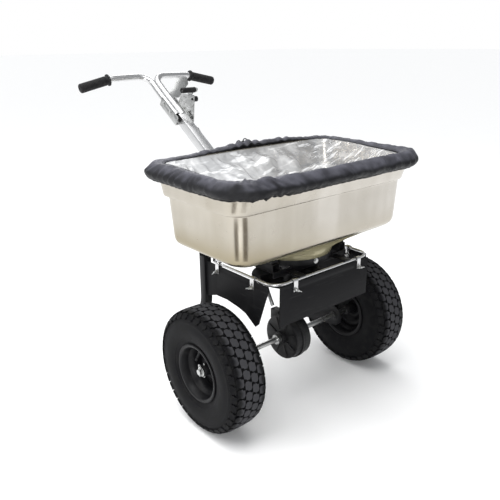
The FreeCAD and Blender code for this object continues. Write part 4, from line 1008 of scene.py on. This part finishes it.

# %% [markdown]

# %% [markdown]
# ## Grips
# Each grip is moulded rubber pushed over the bar: a flange at the inner end keeps the thumb in place, fine
# ribs run round it, and the outer end is domed. Everything is round about the bar, so one lathe profile makes
# it, with the ribs written as a loop.

# %% Both grips
GRIP_INNER = (152, 712, 910)
GRIP_OUTER = (266, 712, 885)
RIBS, RIB_STEP, RIB_START = 17, 5.4, 24.0
grip_profile = [(12, 11.1), (12, 18.2), (12.8, 19.4), (16.0, 19.4), (16.9, 18.2), (17.4, 15.8), (21, 15.3)]
for rib in range(RIBS):
    place = RIB_START + rib * RIB_STEP
    grip_profile += [(place, 14.0), (place + 1.1, 14.0), (place + 1.9, 15.5), (place + 4.2, 15.5)]
grip_profile += [(116.4, 15.3), (118.8, 13.8), (120.2, 10.5), (120.6, 6.0),
                 (120.6, 3.4), (117.5, 3.2), (117.2, 0.3)]
for side, word in ((-1, "left"), (1, "right")):
    inner, outer = (at(side * x, y, z) for x, y, z in (GRIP_INNER, GRIP_OUTER))
    name = f"{word}_grip"
    grip = turned(name + "_rubber", grip_profile, inner, outer - inner, rubber, "frame", 48, closed=False)
    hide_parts(name)
lever_low, lever_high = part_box("lever_grip")
lever_middle = (lever_low + lever_high) / 2
half_length = (lever_high.x - lever_low.x) / 2 / MM
SLEEVE_RIBS, SLEEVE_STEP = 8, 5.8
sleeve_profile = [(-half_length, 4.1), (-half_length, 7.6), (1.2 - half_length, 8.8)]
for rib in range(SLEEVE_RIBS):
    place = 4.5 - half_length + rib * SLEEVE_STEP
    sleeve_profile += [(place, 8.9), (place + 1.0, 8.3), (place + 1.8, 8.3), (place + 2.8, 8.9)]
sleeve_profile += [(half_length - 1.2, 8.8), (half_length, 7.6), (half_length, 4.1)]
sleeve = turned("lever_sleeve", sleeve_profile, lever_middle, (1, 0, 0), rubber, "lever", 40)
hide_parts("lever_grip")

# %% [markdown]
# ## Fasteners
# Bolts are what the eye uses to read the size of a machine. A hexagon head has a chamfered crown, a turned
# washer lies under it, and a wing nut has a hub with two rounded ears. Each is a short function that adds to
# one mesh, because identical bolts share one node of the frame.

# %% Bolt and nut builders
EAR_STEPS = 14


def frame_of(axis):
    """Two directions square to an axis."""
    main = Vector(axis).normalized()
    side = Vector((0, 0, 1)) if abs(main.z) < 0.9 else Vector((1, 0, 0))
    side = (side - main * side.dot(main)).normalized()
    return main, side, main.cross(side)


def prism(points, faces, place, axis, levels, corners, turn_deg=0.0):
    """A solid of rings (along, radius) with the same number of corners, closed at both ends."""
    main, side, other = frame_of(axis)
    start = len(points)
    for along_mm, radius in levels:
        for k in range(corners):
            angle = 2 * math.pi * k / corners + math.radians(turn_deg)
            out = side * math.cos(angle) + other * math.sin(angle)
            points.append(place + main * along_mm * MM + out * radius * MM)
    add_solid(faces, start, len(levels), corners)


def hex_head(points, faces, place, axis, radius, height, turn_deg=12.0):
    """A washer and a hexagon head that stands out along the axis from a place on the surface."""
    washer, rim_radius = radius * 1.28, radius * 1.34
    prism(points, faces, place, axis, [(0, washer), (0.2, rim_radius), (1.1, rim_radius), (1.3, washer)], 24)
    head = [(1.3, radius), (height - 0.7, radius), (height, radius * 0.84)]
    prism(points, faces, place, axis, head, 6, turn_deg)


def wing_nut(points, faces, place, axis, tilt_deg):
    """A hub and two ears."""
    prism(points, faces, place, axis, [(0, 5.2), (0.4, 5.6), (5.2, 4.6), (6.0, 4.0)], 20)
    main, side, other = frame_of(axis)
    reach = side * math.cos(math.radians(tilt_deg)) + other * math.sin(math.radians(tilt_deg))
    across_ear = main.cross(reach)
    for ear in (-1, 1):
        middle = place + main * 7.0 * MM + reach * ear * 8.0 * MM
        start = len(points)
        for thickness in (-1.1, 1.1):
            for k in range(EAR_STEPS):
                angle = 2 * math.pi * k / EAR_STEPS
                up = 5.2 * math.sin(angle) + 1.2 * math.cos(angle)
                spot = reach * (5.6 * math.cos(angle)) * ear + main * up
                points.append(middle + (spot + across_ear * thickness) * MM)
        add_solid(faces, start, 2, EAR_STEPS)


# %% Clip bolts with wing nuts
ROD_HALF, ROD_DEPTH, ROD_HEIGHT = 190, 140, 433
CLIPS_FRONT, CLIPS_SIDE = (-120, 134), (-60, 92)
BOLT_DROP = 23
bolt_points, bolt_faces = [], []
clip_places = [(x, -ROD_DEPTH, (0, -1, 0)) for x in CLIPS_FRONT]
clip_places += [(side * ROD_HALF, y, (side, 0, 0)) for side in (-1, 1) for y in CLIPS_SIDE]
for number, (x, y, outward) in enumerate(clip_places):
    place = at(x, y, ROD_HEIGHT - BOLT_DROP)
    out = Vector(outward)
    behind = place - out * 5.6 * MM
    hex_head(bolt_points, bolt_faces, behind, -out, 5.2, 4.6, 20 * number)
    prism(bolt_points, bolt_faces, behind, out, [(0, 3), (25, 3), (25.8, 2.4)], 16)
    wing_nut(bolt_points, bolt_faces, place + out * 8.2 * MM, out, 62 + 23 * number)
clip_bolts = piece("clip_wing_bolts", bolt_points, bolt_faces, zinc, "frame", smooth=False)
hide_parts("clip_bolts")

# %% Bolts of the joint, the outlet cup and the gear case
bolt_points, bolt_faces = [], []
JOINT_BOLTS, CHANNEL_HALF = (556, 593), 25.6
JOINT_HEIGHT, JOINT_SETBACK, STEM_FALL = 823, 585, 0.686
for setback in JOINT_BOLTS:
    height = JOINT_HEIGHT - STEM_FALL * (JOINT_SETBACK - setback)
    for side, under in ((-1, 0.1), (1, 3.5)):
        place = at(side * (CHANNEL_HALF + under), setback, height)
        hex_head(bolt_points, bolt_faces, place, (side, 0, 0), 5.4, 5.0)
joint_bolts = piece("joint_hex_bolts", bolt_points, bolt_faces, zinc, "frame", smooth=False)
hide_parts("joint_bolts")

CUP_RADIUS, CUP_BOLT_HEIGHT = 118, 456
bolt_points, bolt_faces = [], []
for number in range(3):
    angle = math.radians(263 + 120 * number)
    out = Vector((math.cos(angle), math.sin(angle), 0))
    place = at(out.x * CUP_RADIUS, out.y * CUP_RADIUS, CUP_BOLT_HEIGHT)
    hex_head(bolt_points, bolt_faces, place, out, 5.6, 4.2, 8)
outlet_bolts = piece("outlet_hex_bolts", bolt_points, bolt_faces, zinc, "frame", smooth=False)
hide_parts("outlet_bolts")

CASE_FACE, SCREW_CIRCLE = 28.05, 58
bolt_points, bolt_faces = [], []
for number in range(6):
    angle = math.radians(60 * number + 15)
    place = at(CASE_FACE, SCREW_CIRCLE * math.cos(angle), AXLE_Z / MM + SCREW_CIRCLE * math.sin(angle))
    hex_head(bolt_points, bolt_faces, place, (1, 0, 0), 4.0, 3.9, 30 * number)
case_screws = piece("case_hex_screws", bolt_points, bolt_faces, zinc, "frame", smooth=False)
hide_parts("case_screws")

# %% [markdown]
# The lever pulls the shutter through a cable: its sheath ends at a small stop on the frame and the bare inner
# wire goes on to the shutter's pin. The wire crosses a joint, and it is left on no body.

# %% Inner wire and its nipple
WIRE_START, WIRE_END = at(62, 158, 474), at(-35.5, 142.5, 481)
wire_stops = [WIRE_START, at(40, 157, 474.6), at(0, 149.5, 477.5), at(-24, 144.6, 480.2), WIRE_END]
wire_line = smooth_line(wire_stops, 6)
shutter_wire = tube("shutter_wire", wire_line, 0.9, zinc, None, 8)
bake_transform(shutter_wire)
nipple_profile = [(-4, 0.3), (-4, 2.6), (-3.2, 3.2), (3.2, 3.2), (4, 2.6), (4, 0.3)]
nipple_place = WIRE_END + Vector((0, 0, 5 * MM))
turned("wire_nipple", nipple_profile, nipple_place, (0, 0, 1), zinc, "shutter", 20, closed=False)

# %% [markdown]
# ## Eased frame parts
# Straight tubes, plates and the gear case keep the frame's own shapes; only their edges are eased.

# %% Ease the edges
# Each node's width of bevel in millimetres, and the body of those that don't ride on the frame.
EASED = {
    "left_leg": 1.6, "right_leg": 1.6, "left_rail": 1.6, "right_rail": 1.6, "rear_cross_tube": 1.6,
    "front_cross_bar": 1.0, "left_axle_plate": 0.8, "right_axle_plate": 0.8, "left_foot": 2.0,
    "right_foot": 2.0, "gear_case_left": 1.2, "gear_case_right": 1.2, "outlet_plate": 0.8,
    "hopper_blocks": 1.0, "stem_bracket": 1.6, "gauge_plate": 0.5, "joint_channel": 0.8, "gusset": 0.4,
    "lower_stem": 2.2, "lever": 0.8, "rod_tabs": 0.6, "rate_knob": 1.0, "front_deflector": 0.5,
    "left_deflector": 0.5, "right_deflector": 0.5, "spinner_disc": 0.5, "shutter": 0.4, "rod_clips": 0.3,
}
MOVING = {"lever": "lever", "rate_knob": "rate_knob", "spinner_disc": "spinner", "shutter": "shutter"}
for node, width in EASED.items():
    softened(node, MOVING.get(node, "frame"), width)
print("eased nodes", len(EASED))

# %% [markdown]
# ## Floor
# A plain pale floor, large enough that no edge of it shows.

# %% Floor


def flat_sheet(name, corners, finish):
    """A flat sheet with four corners."""
    mesh = bpy.data.meshes.new(name)
    mesh.from_pydata(corners, [], [(0, 1, 2, 3)])
    mesh.materials.append(finish.material)
    return add_object(name, mesh)


floor_finish = Finish("pale_floor", (0.975, 0.975, 0.975), 0.6)
floor_finish.colours(floor_finish.grain(400, 2), (0.970, 0.970, 0.970), (0.980, 0.980, 0.980))
REACH = 60
floor_corners = [(-REACH, -REACH, 0), (REACH, -REACH, 0), (REACH, REACH, 0), (-REACH, REACH, 0)]
floor = flat_sheet("studio_floor", floor_corners, floor_finish)

# %% [markdown]
# Two dark sheets lie on the sweep where only reflections see them. They draw the dark streaks on each side of
# the bright one at the hopper's round corner, the way black card does beside polished metal in a studio.

# %% Dark sheets for the reflections
card_finish = Finish("dark_card", (0.15, 0.13, 0.105), 0.9)
card_finish.colours(card_finish.grain(50), (0.15, 0.13, 0.105), (0.17, 0.145, 0.12))
CARD_X, CARD_Y, CARD_HEIGHT = -0.30, -0.38, 0.002
CARD_NEAR, CARD_FAR = 0.75, 3.4
for name, low_turn, high_turn in (("left_card", 188, 217), ("right_card", 246, 278)):
    corners = []
    turns = (low_turn, low_turn, high_turn, high_turn)
    for reach, turn in zip((CARD_NEAR, CARD_FAR, CARD_FAR, CARD_NEAR), turns):
        angle = math.radians(turn)
        corners.append((CARD_X + reach * math.cos(angle), CARD_Y + reach * math.sin(angle), CARD_HEIGHT))
    card = flat_sheet(name, corners, card_finish)
    card.visible_camera = card.visible_diffuse = card.visible_shadow = False
